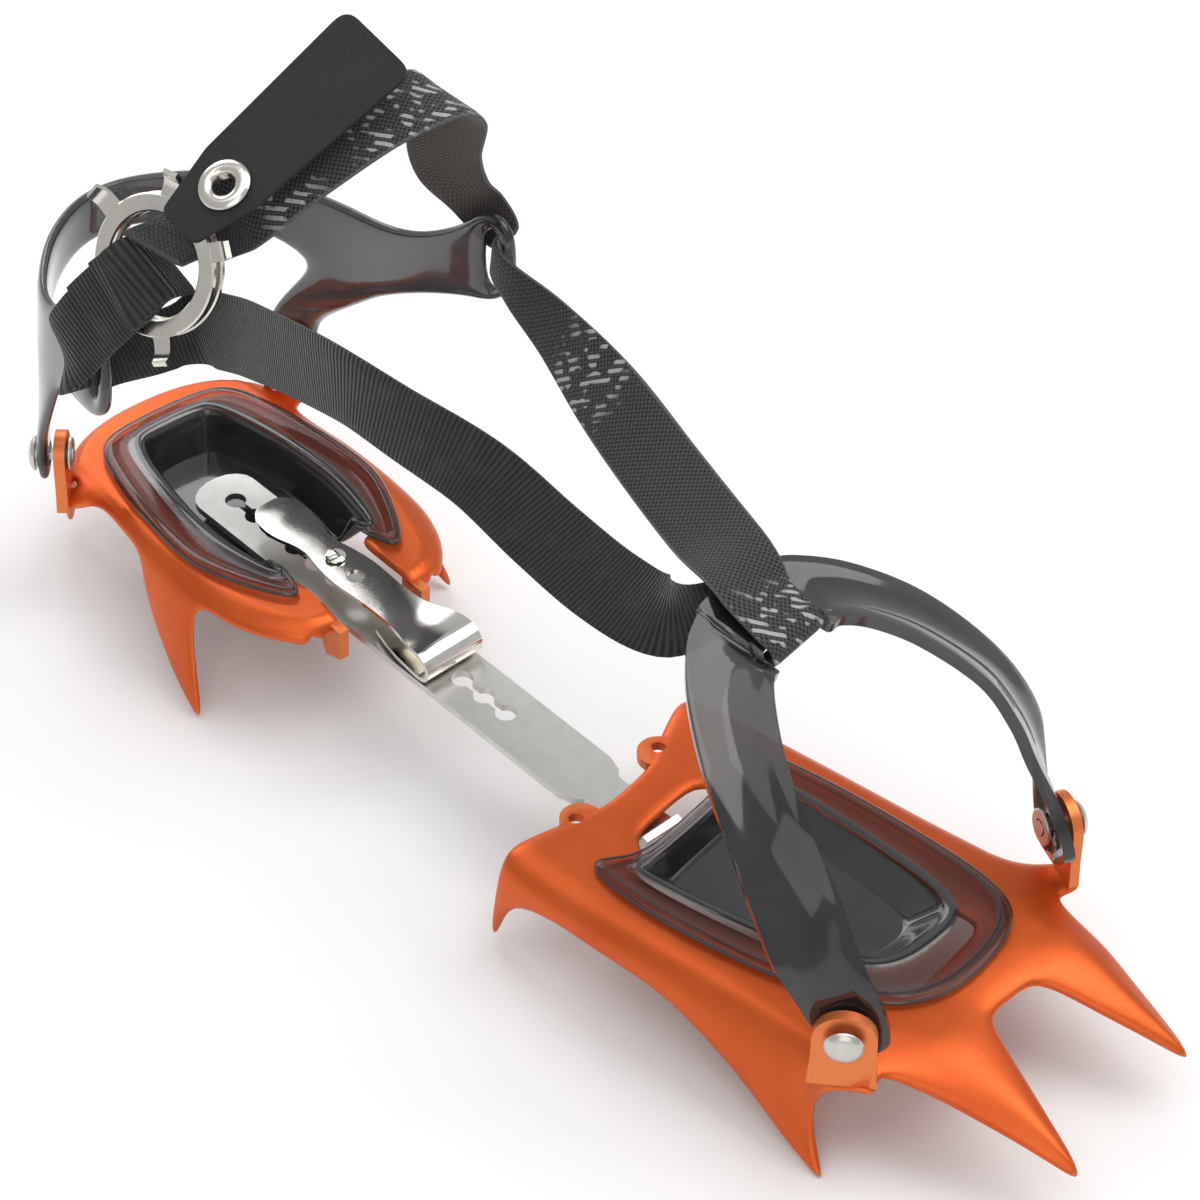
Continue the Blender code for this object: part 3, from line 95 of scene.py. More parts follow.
ORIGIN = Vector((-7.566, 4.062, 0.427))   # the frame's origin in the lengths used here
LEVEL = 2                    # subdivision of the pressed and moulded sheets
WELD = 0.000002              # points closer than this, in metres, are one
TURN_WELD = 0.000005         # the same on the axis of a turned piece
BACK_U = 100.0               # how far on in U a strap's back lies, in millimetres

parts = bpy.data.collections.new("looks")
cutters = bpy.data.collections.new("cutters")
bpy.context.scene.collection.children.link(parts)
bpy.context.scene.collection.children.link(cutters)


class Nodes:
    """A short way to write a node tree: every call returns an output socket."""

    def __init__(self, name):
        self.mat = bpy.data.materials.new(name)
        self.mat.use_nodes = True
        self.tree = self.mat.node_tree
        self.tree.nodes.clear()
        self.out = self.tree.nodes.new("ShaderNodeOutputMaterial")

    def new(self, kind):
        return self.tree.nodes.new("ShaderNode" + kind)

    def feed(self, socket, value):
        """Links an output socket, or sets anything else as the socket's value."""
        if isinstance(value, bpy.types.NodeSocket):
            self.tree.links.new(value, socket)
        else:
            socket.default_value = value

    def put(self, node, **values):
        """Feeds sockets by name."""
        for key, value in values.items():
            self.feed(node.inputs[key.replace("_", " ")], value)
        return node

    def coords(self, kind="Object"):
        return self.new("TexCoord").outputs[kind]

    def split(self, vector):
        node = self.put(self.new("SeparateXYZ"), Vector=vector)
        return node.outputs["X"], node.outputs["Y"], node.outputs["Z"]

    def noise(self, scale, detail=3.0, vector=None, distortion=0.0):
        return self.put(self.new("TexNoise"), Vector=vector or self.coords(), Scale=scale, Detail=detail,
                        Roughness=0.55, Distortion=distortion).outputs["Fac"]

    def cells(self, scale):
        return self.put(self.new("TexVoronoi"), Vector=self.coords(), Scale=scale).outputs["Distance"]

    def stretch(self, scale, turn):
        """The object's own coordinates, stretched and turned about its upright axis."""
        return self.put(self.new("Mapping"), Vector=self.coords(), Scale=scale,
                        Rotation=(0.0, 0.0, turn)).outputs["Vector"]

    def math(self, kind, a, b=0.0, c=0.0):
        node = self.new("Math")
        node.operation = kind
        for socket, value in zip(node.inputs, (a, b, c)):
            self.feed(socket, value)
        return node.outputs[0]

    def product(self, a, b):
        return self.math("MULTIPLY", a, b)

    def span(self, value, low, high, to_low=0.0, to_high=1.0):
        return self.put(self.new("MapRange"), Value=value, From_Min=low, From_Max=high, To_Min=to_low,
                        To_Max=to_high).outputs["Result"]

    def mix(self, fac, a, b):
        """A blend of two colours."""
        node = self.new("Mix")
        node.data_type = "RGBA"
        for socket, value in ((node.inputs[0], fac), (node.inputs[6], a), (node.inputs[7], b)):
            self.feed(socket, (*value, 1.0) if isinstance(value, tuple) else value)
        return node.outputs[2]

    def bump(self, height, distance, strength):
        """Height in 0..1, distance in metres."""
        return self.put(self.new("Bump"), Height=height, Distance=distance,
                        Strength=strength).outputs["Normal"]

    def uv(self):
        """The across and along coordinates of a strap, in millimetres."""
        return self.split(self.coords("UV"))[:2]

    def wave(self, value, pitch):
        """A rounded 0..1 wave of the given pitch."""
        turned = self.math("MULTIPLY", value, 2 * math.pi / pitch)
        return self.math("MULTIPLY_ADD", self.math("SINE", turned), 0.5, 0.5)

    def edges(self, low, high):
        """1 on sharp convex edges, where a finish wears and where a painted edge highlight is laid."""
        return self.span(self.new("NewGeometry").outputs["Pointiness"], low, high)

    def finish(self, shader):
        self.tree.links.new(shader, self.out.inputs["Surface"])
        return self.mat

    def surface(self, **values):
        """Ends a material that is one principled surface."""
        return self.finish(self.put(self.new("BsdfPrincipled"), **values).outputs["BSDF"])


def anodised(name):
    """Satin orange anodising over fine blasted aluminium, paler on sharp edges: partly rubbed anodising,
    partly a painted edge highlight.
    """
    n = Nodes(name)
    cloud = n.noise(35.0, 3.0)
    grain = n.noise(4200.0, 2.0)
    tone = n.mix(n.span(cloud, 0.3, 0.7), (0.600, 0.088, 0.014), (0.690, 0.118, 0.020))
    fleck = n.span(n.noise(900.0, 4.0), 0.62, 0.75, 0.0, 0.35)
    tone = n.mix(fleck, tone, (0.76, 0.17, 0.04))
    # paler orange on sharp convex edges: partly rubbed anodising, partly a painted edge highlight
    tone = n.mix(n.product(n.edges(0.53, 0.60), 0.45), tone, (0.86, 0.32, 0.11))
    rough = n.math("MULTIPLY_ADD", n.noise(260.0, 3.0), 0.16, 0.27)
    scratch = n.noise(700.0, 2.0, vector=n.stretch((0.06, 1.0, 1.0), 0.5))
    height = n.math("MULTIPLY_ADD", grain, 0.7, n.product(scratch, 0.3))
    return n.surface(Base_Color=tone, Metallic=0.72, Roughness=rough, Specular_IOR_Level=0.6,
                     Normal=n.bump(height, 0.00008, 0.7))


SMOKE_TINT = (0.60, 0.58, 0.59)      # light through the thick moulded hoops
FILM_TINT = (0.93, 0.91, 0.92)       # light through the plates' thin flat film
FILM_FADE = 0.0002                   # metres over which the film ends at the bead and the lip


def smoky(name, clear, film=None):
    """Glossy smoke-tinted moulded plastic. Flat parts between the film's two heights, in metres, are clear;
    the bead, the lip and the tray are deep and dark."""
    n = Nodes(name)
    flow = n.noise(60.0, 2.0, distortion=0.6)
    tone = n.mix(n.span(flow, 0.35, 0.65), (0.016, 0.016, 0.018), (0.028, 0.027, 0.030))
    rough = n.math("MULTIPLY_ADD", n.noise(400.0, 3.0), 0.10, 0.05)
    body = n.put(n.new("BsdfPrincipled"), Base_Color=tone, Roughness=rough, Specular_IOR_Level=0.65,
                 Coat_Weight=0.5, Coat_Roughness=0.04, Normal=n.bump(flow, 0.0003, 0.10)).outputs["BSDF"]
    tint = n.put(n.new("BsdfTransparent"), Color=(*(SMOKE_TINT if film is None else FILM_TINT), 1.0))
    edge_on = n.put(n.new("LayerWeight"), Blend=0.35).outputs["Facing"]
    through = n.span(edge_on, 0.0, 0.85, clear, 0.02)
    if film is not None:
        height = n.split(n.coords())[2]
        level = n.product(n.span(height, film[0], film[0] + FILM_FADE),
                          n.span(height, film[1] - FILM_FADE, film[1], 1.0, 0.0))
        up = n.split(n.new("NewGeometry").outputs["True Normal"])[2]
        flat = n.span(n.math("ABSOLUTE", up), 0.70, 0.90)
        through = n.product(through, n.math("MULTIPLY_ADD", n.product(level, flat), 0.95, 0.05))
    mixed = n.new("MixShader")
    for socket, value in zip(mixed.inputs, (through, body, tint.outputs[0])):
        n.feed(socket, value)
    return n.finish(mixed.outputs[0])


def bare_steel(name, colour, rough, spread, grain, scratches, depth=0.00004):
    """Bare metal: a mottled roughness, fine tumbling marks and a few long scratches."""
    n = Nodes(name)
    marks = n.cells(grain)
    cloud = n.noise(120.0, 4.0)
    lines = n.noise(300.0, 3.0, vector=n.stretch((0.05, 1.0, 0.05), 0.35))
    tone = n.mix(n.span(cloud, 0.35, 0.7), colour, tuple(c * 0.86 for c in colour))
    rough_map = n.math("MULTIPLY_ADD", cloud, spread, rough)
    height = n.math("MULTIPLY_ADD", marks, 0.6, n.product(lines, scratches))
    return n.surface(Base_Color=tone, Metallic=1.0, Roughness=rough_map,
                     Normal=n.bump(height, depth, 0.5))


def ribbed_webbing(name):
    """Black webbing with fine ribs across its width and a slight lengthwise twill."""
    n = Nodes(name)
    u, v = n.uv()
    rib = n.wave(v, 1.15)
    yarn = n.wave(u, 0.62)
    fibre = n.noise(5200.0, 2.0)
    worn = n.noise(140.0, 3.0)
    tone = n.mix(rib, (0.007, 0.007, 0.0075), (0.036, 0.035, 0.034))
    tone = n.mix(n.product(n.span(worn, 0.5, 0.8), 0.35), tone, (0.070, 0.066, 0.062))
    height = n.math("ADD", n.product(rib, 0.7),
                    n.math("MULTIPLY_ADD", yarn, 0.18, n.product(fibre, 0.12)))
    return n.surface(Base_Color=tone, Roughness=0.78, Sheen_Weight=0.25, Sheen_Roughness=0.4,
                     Specular_IOR_Level=0.3, Normal=n.bump(height, 0.00045, 0.9))


def woven_webbing(name, highlight_spans):
    """Charcoal webbing in a close basket weave, pale painted highlights in patches, plain brown-grey on its
    back.
    The spans passed in are the stretches along the strap, in millimetres, where the pale painted highlights
    lie."""
    n = Nodes(name)
    u, v = n.uv()
    warp = n.wave(u, 1.5)
    weft = n.wave(v, 1.5)
    odd = n.wave(n.math("ADD", u, v), 3.0)
    crossing = n.product(n.math("SUBTRACT", warp, 0.5), n.math("SUBTRACT", weft, 0.5))
    over = n.math("GREATER_THAN", crossing, 0.0)
    fibre = n.noise(5200.0, 2.0)
    tone = n.mix(over, (0.012, 0.012, 0.014), (0.055, 0.055, 0.062))
    place = n.put(n.new("CombineXYZ"), X=u, Y=v).outputs[0]
    patch = n.span(n.noise(0.23, 1.0, vector=place), 0.50, 0.56)
    spans = 0.0
    for low, high in highlight_spans:
        rise = n.product(n.span(v, low - 3, low + 3), n.span(v, high - 3, high + 3, 1.0, 0.0))
        spans = n.math("MAXIMUM", spans, rise)
    # painted highlight: a pale colour on the diagonal yarns, in patches within the given spans
    pale = n.product(n.product(patch, spans), n.span(odd, 0.45, 0.6))
    tone = n.mix(pale, tone, (0.36, 0.36, 0.37))
    back = n.math("GREATER_THAN", u, BACK_U * 0.6)
    tone = n.mix(back, tone, n.mix(over, (0.030, 0.024, 0.021), (0.075, 0.062, 0.055)))
    across = n.math("ABSOLUTE", n.math("SUBTRACT", u, n.product(back, BACK_U)))
    tone = n.mix(n.span(across, 9.1, 9.5, 0.0, 0.5), tone, (0.16, 0.155, 0.15))
    height = n.math("ADD", n.product(over, 0.55),
                    n.math("MULTIPLY_ADD", n.product(warp, weft), 0.33, n.product(fibre, 0.12)))
    return n.surface(Base_Color=tone, Roughness=0.8, Sheen_Weight=0.25, Sheen_Roughness=0.4,
                     Specular_IOR_Level=0.3, Normal=n.bump(height, 0.00045, 0.9))


def coated_sheet(name):
    """Matt black coated fabric with a fine pebbled surface and scattered pale dust."""
    n = Nodes(name)
    pebble = n.cells(2600.0)
    dust = n.span(n.noise(2300.0, 1.0), 0.70, 0.76, 0.0, 0.35)
    tone = n.mix(dust, (0.0105, 0.0105, 0.0115), (0.10, 0.10, 0.10))
    rough = n.math("MULTIPLY_ADD", n.noise(90.0, 3.0), 0.2, 0.50)
    return n.surface(Base_Color=tone, Roughness=rough, Specular_IOR_Level=0.35,
                     Normal=n.bump(pebble, 0.00012, 0.6))


def pale_floor(name):
    """A matt, very slightly uneven studio surface."""
    n = Nodes(name)
    soft = n.noise(6.0, 2.0)
    return n.surface(Base_Color=n.mix(soft, (0.86, 0.86, 0.86), (0.89, 0.89, 0.89)), Roughness=0.9,
                     Normal=n.bump(n.noise(400.0, 2.0), 0.0002, 0.1))


MAT = {
    "anodised_aluminium_front": anodised("anodised_front"),
    "anodised_aluminium_heel": anodised("anodised_heel"),
    "smoky_plastic_front": smoky("smoky_front", 0.97, (0.0293, 0.0316)),
    "smoky_plastic_heel": smoky("smoky_heel", 0.97, (0.0351, 0.0374)),
    "smoky_plastic_bail": smoky("smoky_bail", 0.34),
    "smoky_plastic_cradle": smoky("smoky_cradle", 0.44),
    "tumbled_stainless_steel": bare_steel("tumbled_steel", (0.66, 0.65, 0.63), 0.26, 0.16, 1600.0, 0.5),
    "polished_spring_steel": bare_steel("polished_steel", (0.80, 0.78, 0.74), 0.03, 0.08, 5200.0, 0.10,
                                        0.000008),
    "satin_rivet_steel": bare_steel("satin_steel", (0.66, 0.63, 0.59), 0.24, 0.16, 1800.0, 0.4),
    "nickel_plated_ring_steel": bare_steel("nickel_plate", (0.74, 0.71, 0.66), 0.12, 0.16, 1100.0, 0.35),
    "ribbed_webbing": ribbed_webbing("ribbed_webbing"),
    "coated_sheet": coated_sheet("coated_sheet"),
}


def frame_matrix(at, yaw):
    return Matrix.Translation((at[0], at[1], 0.0)) @ Matrix.Rotation(math.radians(yaw), 4, "Z")


FRONT = frame_matrix(FRONT_AT, FRONT_YAW)
HEEL = frame_matrix(HEEL_AT, HEEL_YAW)
WORLD = Matrix.Identity(4)


def add_object(name, data, mat, coll=parts):
    ob = bpy.data.objects.new(name, data)
    coll.objects.link(ob)
    if mat is not None:
        data.materials.append(mat)
    return ob


def outward(mesh, sheet=False, weld=0.0):
    """Merges close points if asked, and turns a mesh's faces outwards, or an open sheet's faces upwards."""
    bm = bmesh.new()
    bm.from_mesh(mesh)
    if sheet:
        bmesh.ops.delete(bm, geom=[v for v in bm.verts if not v.link_faces], context="VERTS")
    if weld:
        bmesh.ops.remove_doubles(bm, verts=bm.verts, dist=weld)
    bmesh.ops.recalc_face_normals(bm, faces=bm.faces)
    if sheet and sum(f.normal.z * f.calc_area() for f in bm.faces) < 0:
        bmesh.ops.reverse_faces(bm, faces=bm.faces)
    bm.to_mesh(mesh)
    bm.free()


def wrapped(rings, loop=False, skip=None):
    """Faces between matching rings of points; skip leaves one side of them open."""
    n = len(rings[0])
    count = len(rings)
    return [(i * n + k, i * n + (k + 1) % n, (i + 1) % count * n + (k + 1) % n, (i + 1) % count * n + k)
            for i in range(count if loop else count - 1) for k in range(n) if k != skip]


def in_metres(place):
    """A placement in millimetres as one in metres."""
    world = place.copy()
    world.translation = place.translation * MM
    return world


def mesh_from(name, verts, faces, frame, mat):
    """A mesh from millimetre points of one section's own frame."""
    mesh = bpy.data.meshes.new(name)
    mesh.from_pydata([(frame @ Vector(v)) * MM for v in verts], [], faces)
    mesh.validate()
    outward(mesh)
    return add_object(name, mesh, mat)


def evaluated_copy(ob):
    """Replaces an object's modifiers, or a curve, by the plain welded mesh they make."""
    deps = bpy.context.evaluated_depsgraph_get()
    deps.update()
    mesh = bpy.data.meshes.new_from_object(ob.evaluated_get(deps))
    mesh.transform(ob.matrix_world)
    name = ob.name
    coll = ob.users_collection[0]
    mats = list(ob.data.materials)
    bpy.data.objects.remove(ob, do_unlink=True)
    outward(mesh, weld=WELD)
    mesh.name = name
    mesh.materials.clear()
    new = add_object(name, mesh, None, coll)
    for mat in mats:
        mesh.materials.append(mat)
    return new


def smooth(ob, angle):
    for poly in ob.data.polygons:
        poly.use_smooth = True
    ob.data.set_sharp_from_angle(angle=math.radians(angle))
    return ob


def flat_shape(name, outlines, low, high, place, mat, bevel=0.0, coll=parts):
    """A flat stamped shape: closed outlines (the later ones are holes) filled and given a height."""
    curve = bpy.data.curves.new(name, "CURVE")
    curve.dimensions = "2D"
    curve.fill_mode = "BOTH"
    curve.resolution_u = 1
    curve.bevel_resolution = 0
    for line in outlines:
        spline = curve.splines.new("POLY")
        spline.points.add(len(line) - 1)
        for point, (x, y) in zip(spline.points, line):
            point.co = (x * MM, y * MM, 0.0, 1.0)
        spline.use_cyclic_u = True
    curve.extrude = (high - low) * 0.5 * MM - bevel * MM
    curve.bevel_depth = bevel * MM
    curve.offset = -bevel * MM
    ob = add_object(name, curve, mat, coll)
    ob.matrix_world = in_metres(place) @ Matrix.Translation((0.0, 0.0, (low + high) * 0.5 * MM))
    bpy.context.view_layer.update()
    return evaluated_copy(ob)


def cut(ob, tool, operation="DIFFERENCE"):
    """Joins or removes one solid and leaves a plain mesh."""
    mod = ob.modifiers.new("cut", "BOOLEAN")
    mod.operation = operation
    mod.solver = "EXACT"
    mod.object = tool
    new = evaluated_copy(ob)
    bpy.data.objects.remove(tool, do_unlink=True)
    return new


def cylinder(radius, low, high, place, sides):
    """A plain solid used to cut a hole or to add a lug."""
    mesh = bpy.data.meshes.new("tool")
    bm = bmesh.new()
    bmesh.ops.create_cone(bm, cap_ends=True, segments=sides, radius1=radius * MM, radius2=radius * MM,
                          depth=(high - low) * MM)
    middle = Matrix.Translation((0, 0, (low + high) * 0.5 * MM))
    bmesh.ops.transform(bm, matrix=in_metres(place) @ middle, verts=bm.verts)
    bm.to_mesh(mesh)
    bm.free()
    return add_object("tool", mesh, None, cutters)


def turned(name, profile, place, mat, sides):
    """A turned piece: a (radius, height) profile from axis to axis, swept round its own axis."""
    mesh = bpy.data.meshes.new(name)
    pts = [(r * MM, 0.0, z * MM) for r, z in profile]
    mesh.from_pydata(pts, [(i, i + 1) for i in range(len(pts) - 1)], [])
    ob = add_object(name, mesh, mat)
    mod = ob.modifiers.new("turn", "SCREW")
    mod.axis = "Z"
    mod.steps = sides
    mod.render_steps = sides
    mod.use_merge_vertices = True
    mod.merge_threshold = TURN_WELD
    mod.use_normal_calculate = True
    ob.matrix_world = in_metres(place)
    bpy.context.view_layer.update()
    return smooth(evaluated_copy(ob), 40.0)


def swept(name, section, place, mat, sides):
    """A ring: a closed (radius, height) section swept round the placement's axis."""
    rings = []
    for k in range(sides):
        a = 2 * math.pi * k / sides
        rings.append([place @ Vector((r * math.cos(a), r * math.sin(a), z)) for r, z in section])
    return loft(name, rings, WORLD, mat, True)


def facing(at, normal, frame):
    """Placement whose local Z runs along a level normal, at a point of a section's frame."""
    z = (frame.to_3x3() @ Vector(normal)).normalized()
    x = Vector((0, 0, 1)).cross(z).normalized()
    mat = Matrix((x, z.cross(x), z)).transposed().to_4x4()
    mat.translation = frame @ Vector(at)
    return mat


def pivot_place(pivot, out, side, frame):
    """Placement of a rivet on the wearer's left (1) or right (-1)."""
    return facing((pivot[0], side * pivot[1], pivot[2]), (out[0], side * out[1], 0.0), frame)


def arc(cx, cy, radius, sides, count, sweep):
    turns = [math.radians(sweep * i / sides) for i in range(count)]
    return [(cx + radius * math.cos(a), cy + radius * math.sin(a)) for a in turns]


def rounded(points, radii, steps):
    """A polygon with its corners rounded; one radius per corner."""
    out = []
    n = len(points)
    for i, (p, r) in enumerate(zip(points, radii)):
        p = Vector((p[0], p[1]))
        a = Vector((points[i - 1][0], points[i - 1][1]))
        b = Vector((points[(i + 1) % n][0], points[(i + 1) % n][1]))
        ua = (a - p).normalized()
        ub = (b - p).normalized()
        half = math.acos(max(-1.0, min(1.0, ua.dot(ub)))) * 0.5
        reach = min(r / math.tan(half), (a - p).length * 0.48, (b - p).length * 0.48)
        start = p + ua * reach
        end = p + ub * reach
        for k in range(steps + 1):
            t = k / steps
            q = start * (1 - t) ** 2 + p * (2 * t * (1 - t)) + end * t ** 2
            out.append((q.x, q.y))
    return out


def catmull(points, per):
    """A smooth run of points through the given ones."""
    pts = [Vector(p) for p in points]
    n = len(pts)
    out = []
    for i in range(n - 1):
        p0 = pts[max(i - 1, 0)]
        p1 = pts[i]
        p2 = pts[i + 1]
        p3 = pts[min(i + 2, n - 1)]
        for k in range(per):
            t = k / per
            out.append(0.5 * ((2 * p1) + (p2 - p0) * t + (2 * p0 - 5 * p1 + 4 * p2 - p3) * t * t
                              + (3 * p1 - p0 - 3 * p2 + p3) * t ** 3))
    out.append(pts[-1].copy())
    return out


def smooth_run(values, per):
    """The same, for plain numbers."""
    return [w.x for w in catmull([(w, 0, 0) for w in values], per)]


def axes_along(mids, across):
    """At each middle point of a strap: the direction across it and the one out of it."""
    last = len(mids) - 1
    for i, a in enumerate(across):
        run = (mids[min(i + 1, last)] - mids[max(i - 1, 0)]).normalized()
        a = (a - run * a.dot(run)).normalized()
        yield a, run.cross(a).normalized()


def loft(name, rings, frame, mat, loop=False):
    """A closed solid through matching rings of points; a loop has no ends."""
    faces = wrapped(rings, loop)
    n = len(rings[0])
    if not loop:
        faces += [tuple(range(n)), tuple((len(rings) - 1) * n + k for k in range(n))]
    return mesh_from(name, [tuple(p) for ring in rings for p in ring], faces, frame, mat)


def band(name, centre, across, width, thick, mat, per):
    """A strap-like solid: centre points, the direction across the band, widths and thicknesses."""
    mids = catmull(centre, per)
    acr = [Vector(across)] * len(mids)
    rings = []
    sizes = zip(smooth_run(width, per), smooth_run(thick, per))
    for mid, (a, out), (w, t) in zip(mids, axes_along(mids, acr), sizes):
        h, t = w * 0.5, t * 0.5
        rings.append([mid + a * u + out * v for u, v in ((-h, -t), (-h, t), (h, t), (h, -t))])
    return loft(name, rings, WORLD, mat)


def grid_sheet(name, rows, holes, frame, mat, thick):
    """A pressed sheet: rows of points (None where the sheet is missing), given thickness downwards."""
    index = {}
    for i, row in enumerate(rows):
        for j, p in enumerate(row):
            if p is not None:
                index[(i, j)] = len(index)
    faces = []
    for i in range(len(rows) - 1):
        for j in range(len(rows[0]) - 1):
            keys = [(i, j), (i + 1, j), (i + 1, j + 1), (i, j + 1)]
            if (i, j) not in holes and all(k in index for k in keys):
                faces.append(tuple(index[k] for k in keys))
    mesh = bpy.data.meshes.new(name)
    mesh.from_pydata([(frame @ Vector(rows[i][j])) * MM for i, j in index], [], faces)
    outward(mesh, sheet=True)
    ob = add_object(name, mesh, mat)
    sheet = ob.modifiers.new("sheet", "SOLIDIFY")
    sheet.thickness = thick * MM
    sheet.offset = -1.0
    sheet.use_even_offset = False
    sheet.use_quality_normals = True
    subdivide(ob)
    return evaluated_copy(ob)


def subdivide(ob):
    mod = ob.modifiers.new("round", "SUBSURF")
    mod.levels = LEVEL
    mod.render_levels = LEVEL


def flatten(ob, top, within):
    """Press the vertices close to the top face exactly onto it."""
    for v in ob.data.vertices:
        if abs(v.co.z - top * MM) < within * MM:
            v.co.z = top * MM
    return ob


def both_halves(top, half, other=None):
    """A whole row from its near half, listed from the middle line outwards, and its far half if that differs.
    A point without a height lies on the top face."""
    near, far = ([None if p is None else (*p, top)[:3] for p in row] for row in (half, other or half))
    left = [None if p is None else (p[0], -p[1], p[2]) for p in reversed(near[1:])]
    return left + [near[0]] + far[1:]


# ---------------------------------------------------------------- front section
orange_front = MAT["anodised_aluminium_front"]
orange_heel = MAT["anodised_aluminium_heel"]


def front_rows():
    """Stations of the front sheet from the rear edge to the tips of the two front points.
    Each half row runs from the middle line outwards; near is the wearer's right."""
    top = FRONT_TOP
    rows = []

    def row(near, far):
        rows.append(both_halves(top, near, far))

    def both(half):
        rows.append(both_halves(top, half))

    # rear edge, cross member, slot
    both([(0.3, 0), (0.3, 9.5), (-3.0, 16), (-5.5, 23), (-8.6, 31), (-8.8, 36.0, top - 0.6),
          (-8.6, 39.2, top - 4.0), (-9.6, 39.8, 17.0), (-10.6, 40.2, 1.5)])
    both([(3.0, 0), (3.0, 9.5), (1.0, 16), (0.0, 23), (-2.5, 31), (-2.6, 36.4, top - 0.2),
          (-2.4, 40.2, top - 3.6), (-4.4, 41.0, 18.0), (-9.3, 40.3, 1.0)])
    both([(12.9, 0), (12.9, 12.9), (11.5, 18.5), (11.0, 25), (11.0, 31),
          (11.0, 36.6), (11.0, 40.4, top - 3.4), (11.0, 42.0, 21.0), None])
    both([(18.5, 0), (18.5, 13.5), (18.5, 22.0), (18.5, 26), (18.5, 31),
          (18.5, 36.8), (18.5, 40.6, top - 3.3), (18.5, 42.4, 20.5), None])
    both([(30, 0), (30, 13), (30, 22.6), (30, 27), (30, 32),
          (30, 36.9), (30, 40.7, top - 3.3), (30, 42.8, 20.0), None])
    both([(44, 0), (44, 12), (44, 22.0), (44, 27), (44, 32),
          (44, 36.8), (44, 40.8, top - 3.4), (44, 43.2, 19.5), None])
    both([(57, 0), (57, 11), (57, 20.6), (57, 26.5), (57, 31.6),
          (57, 36.6), (57, 41.0, top - 3.5), (58, 45.2, 16.0), None])
    both([(66, 0), (66, 10), (66, 19.6), (66, 26), (66, 31.2),
          (66, 36.6), (66.5, 41.4, top - 3.6), (72, 47.2, 10.5), (90.5, 50.6, 2.8)])
    both([(76, 0), (76, 9), (76, 17.6), (76, 25), (76, 31.0),
          (76, 36.8), (77, 41.8, top - 3.6), (83.5, 47.6, 11.0), (98.6, 52.6, 0.3)])
    both([(86, 0), (86, 8), (86, 15.0), (86, 24), (86, 31.5),
          (86, 37.2), (86.2, 41.0, top - 3.0), (89.0, 46.0, 13.0), (100.2, 52.6, 0.3)])
    # front cross member and the roots of the front points
    row([(95, 0), (95, 7), (95, 15), (95, 24), (95, 32), (95, 38.0, top - 0.5),
         (94.4, 43.5, top - 1.2), (95.6, 48.8, top + 0.6), None],
        [(95, 0), (95, 8), (95, 17), (95, 25), (95, 33), (95, 38.4, top - 0.5),
         (94.4, 43.5, top - 1.2), (95.6, 48.8, top + 0.6), None])
    row([(105.5, 1.5), (105.2, 5.5), (104.5, 14), (104, 23), (104, 31, top - 0.8),
         (103.6, 36.6, top - 1.2), (105.5, 40.4, top - 1.2), (107.6, 42.6, top + 0.6), None],
        [(105.5, 1.5), (105.8, 9.5), (106, 18), (105, 27), (104.5, 33, top - 0.8),
         (103.6, 37.0, top - 1.2), (105.5, 40.4, top - 1.2), (107.6, 42.6, top + 0.6), None])
    row([(114.2, 2.6, top - 1.4), (112.6, 5.2, top - 1.4), (112.6, 13.0), (112.2, 21.5, top + 0.3),
         (111.5, 28.5, top - 1.6), (110.0, 34.4, top - 3.2), None, None, None],
        [(114.2, 2.6, top - 1.4), (114.6, 10.2, top - 1.4), (115.0, 17.5), (114.0, 26.0, top + 0.3),
         (112.5, 31.5, top - 1.6), (111.0, 35.4, top - 3.2), None, None, None])
    row([None, (120.0, 8.8, top - 3.2), (119.8, 14.5, top - 2.0), (119.6, 21.2, top - 1.2),
         (118.8, 27.2, top - 3.2), (117.5, 32.0, top - 5.2), None, None, None],
        [None, (121.4, 12.8, top - 3.2), (121.6, 18.5, top - 2.0), (121.0, 25.0, top - 1.2),
         (120.4, 30.2, top - 3.2), (119.6, 34.6, top - 5.2), None, None, None])
    row([None, (129.5, 13.4, top - 5.8), (129.3, 17.4, top - 4.6), (129.0, 22.0, top - 3.8),
         (128.5, 26.2, top - 6.0), (127.6, 29.8, top - 8.0), None, None, None],
        [None, (130.4, 14.9, top - 5.8), (130.6, 18.8, top - 4.6), (130.4, 23.6, top - 3.8),
         (130.0, 27.6, top - 6.0), (129.4, 31.6, top - 8.0), None, None, None])
    row([None, (140.0, 17.8, top - 9.6), (140.0, 20.2, top - 8.6), (140.0, 22.6, top - 8.2),
         (139.8, 25.0, top - 9.8), (139.4, 27.2, top - 11.2), None, None, None],
        [None, (140.6, 18.3, top - 9.6), (140.8, 20.8, top - 8.6), (140.8, 23.4, top - 8.2),
         (140.6, 25.8, top - 9.8), (140.4, 28.2, top - 11.2), None, None, None])
    row([None, (150.8, 22.2, top - 14.6), (151.2, 22.9, top - 14.2), (151.4, 23.6, top - 14.0),
         (151.2, 24.2, top - 14.6), (150.8, 25.0, top - 15.2), None, None, None],
        [None, (150.8, 22.4, top - 14.6), (151.2, 23.1, top - 14.2), (151.4, 23.8, top - 14.0),
         (151.2, 24.4, top - 14.6), (150.8, 25.2, top - 15.2), None, None, None])
    return rows


FRONT_MIDDLE = 8             # the column of a row that lies on the middle line
window = {(i, j) for i in range(2, 10) for j in range(FRONT_MIDDLE - 2, FRONT_MIDDLE + 2)}
window -= {(2, FRONT_MIDDLE - 2), (2, FRONT_MIDDLE + 1)}
front_frame = grid_sheet("front_frame", front_rows(), window, FRONT, orange_front, SHEET)

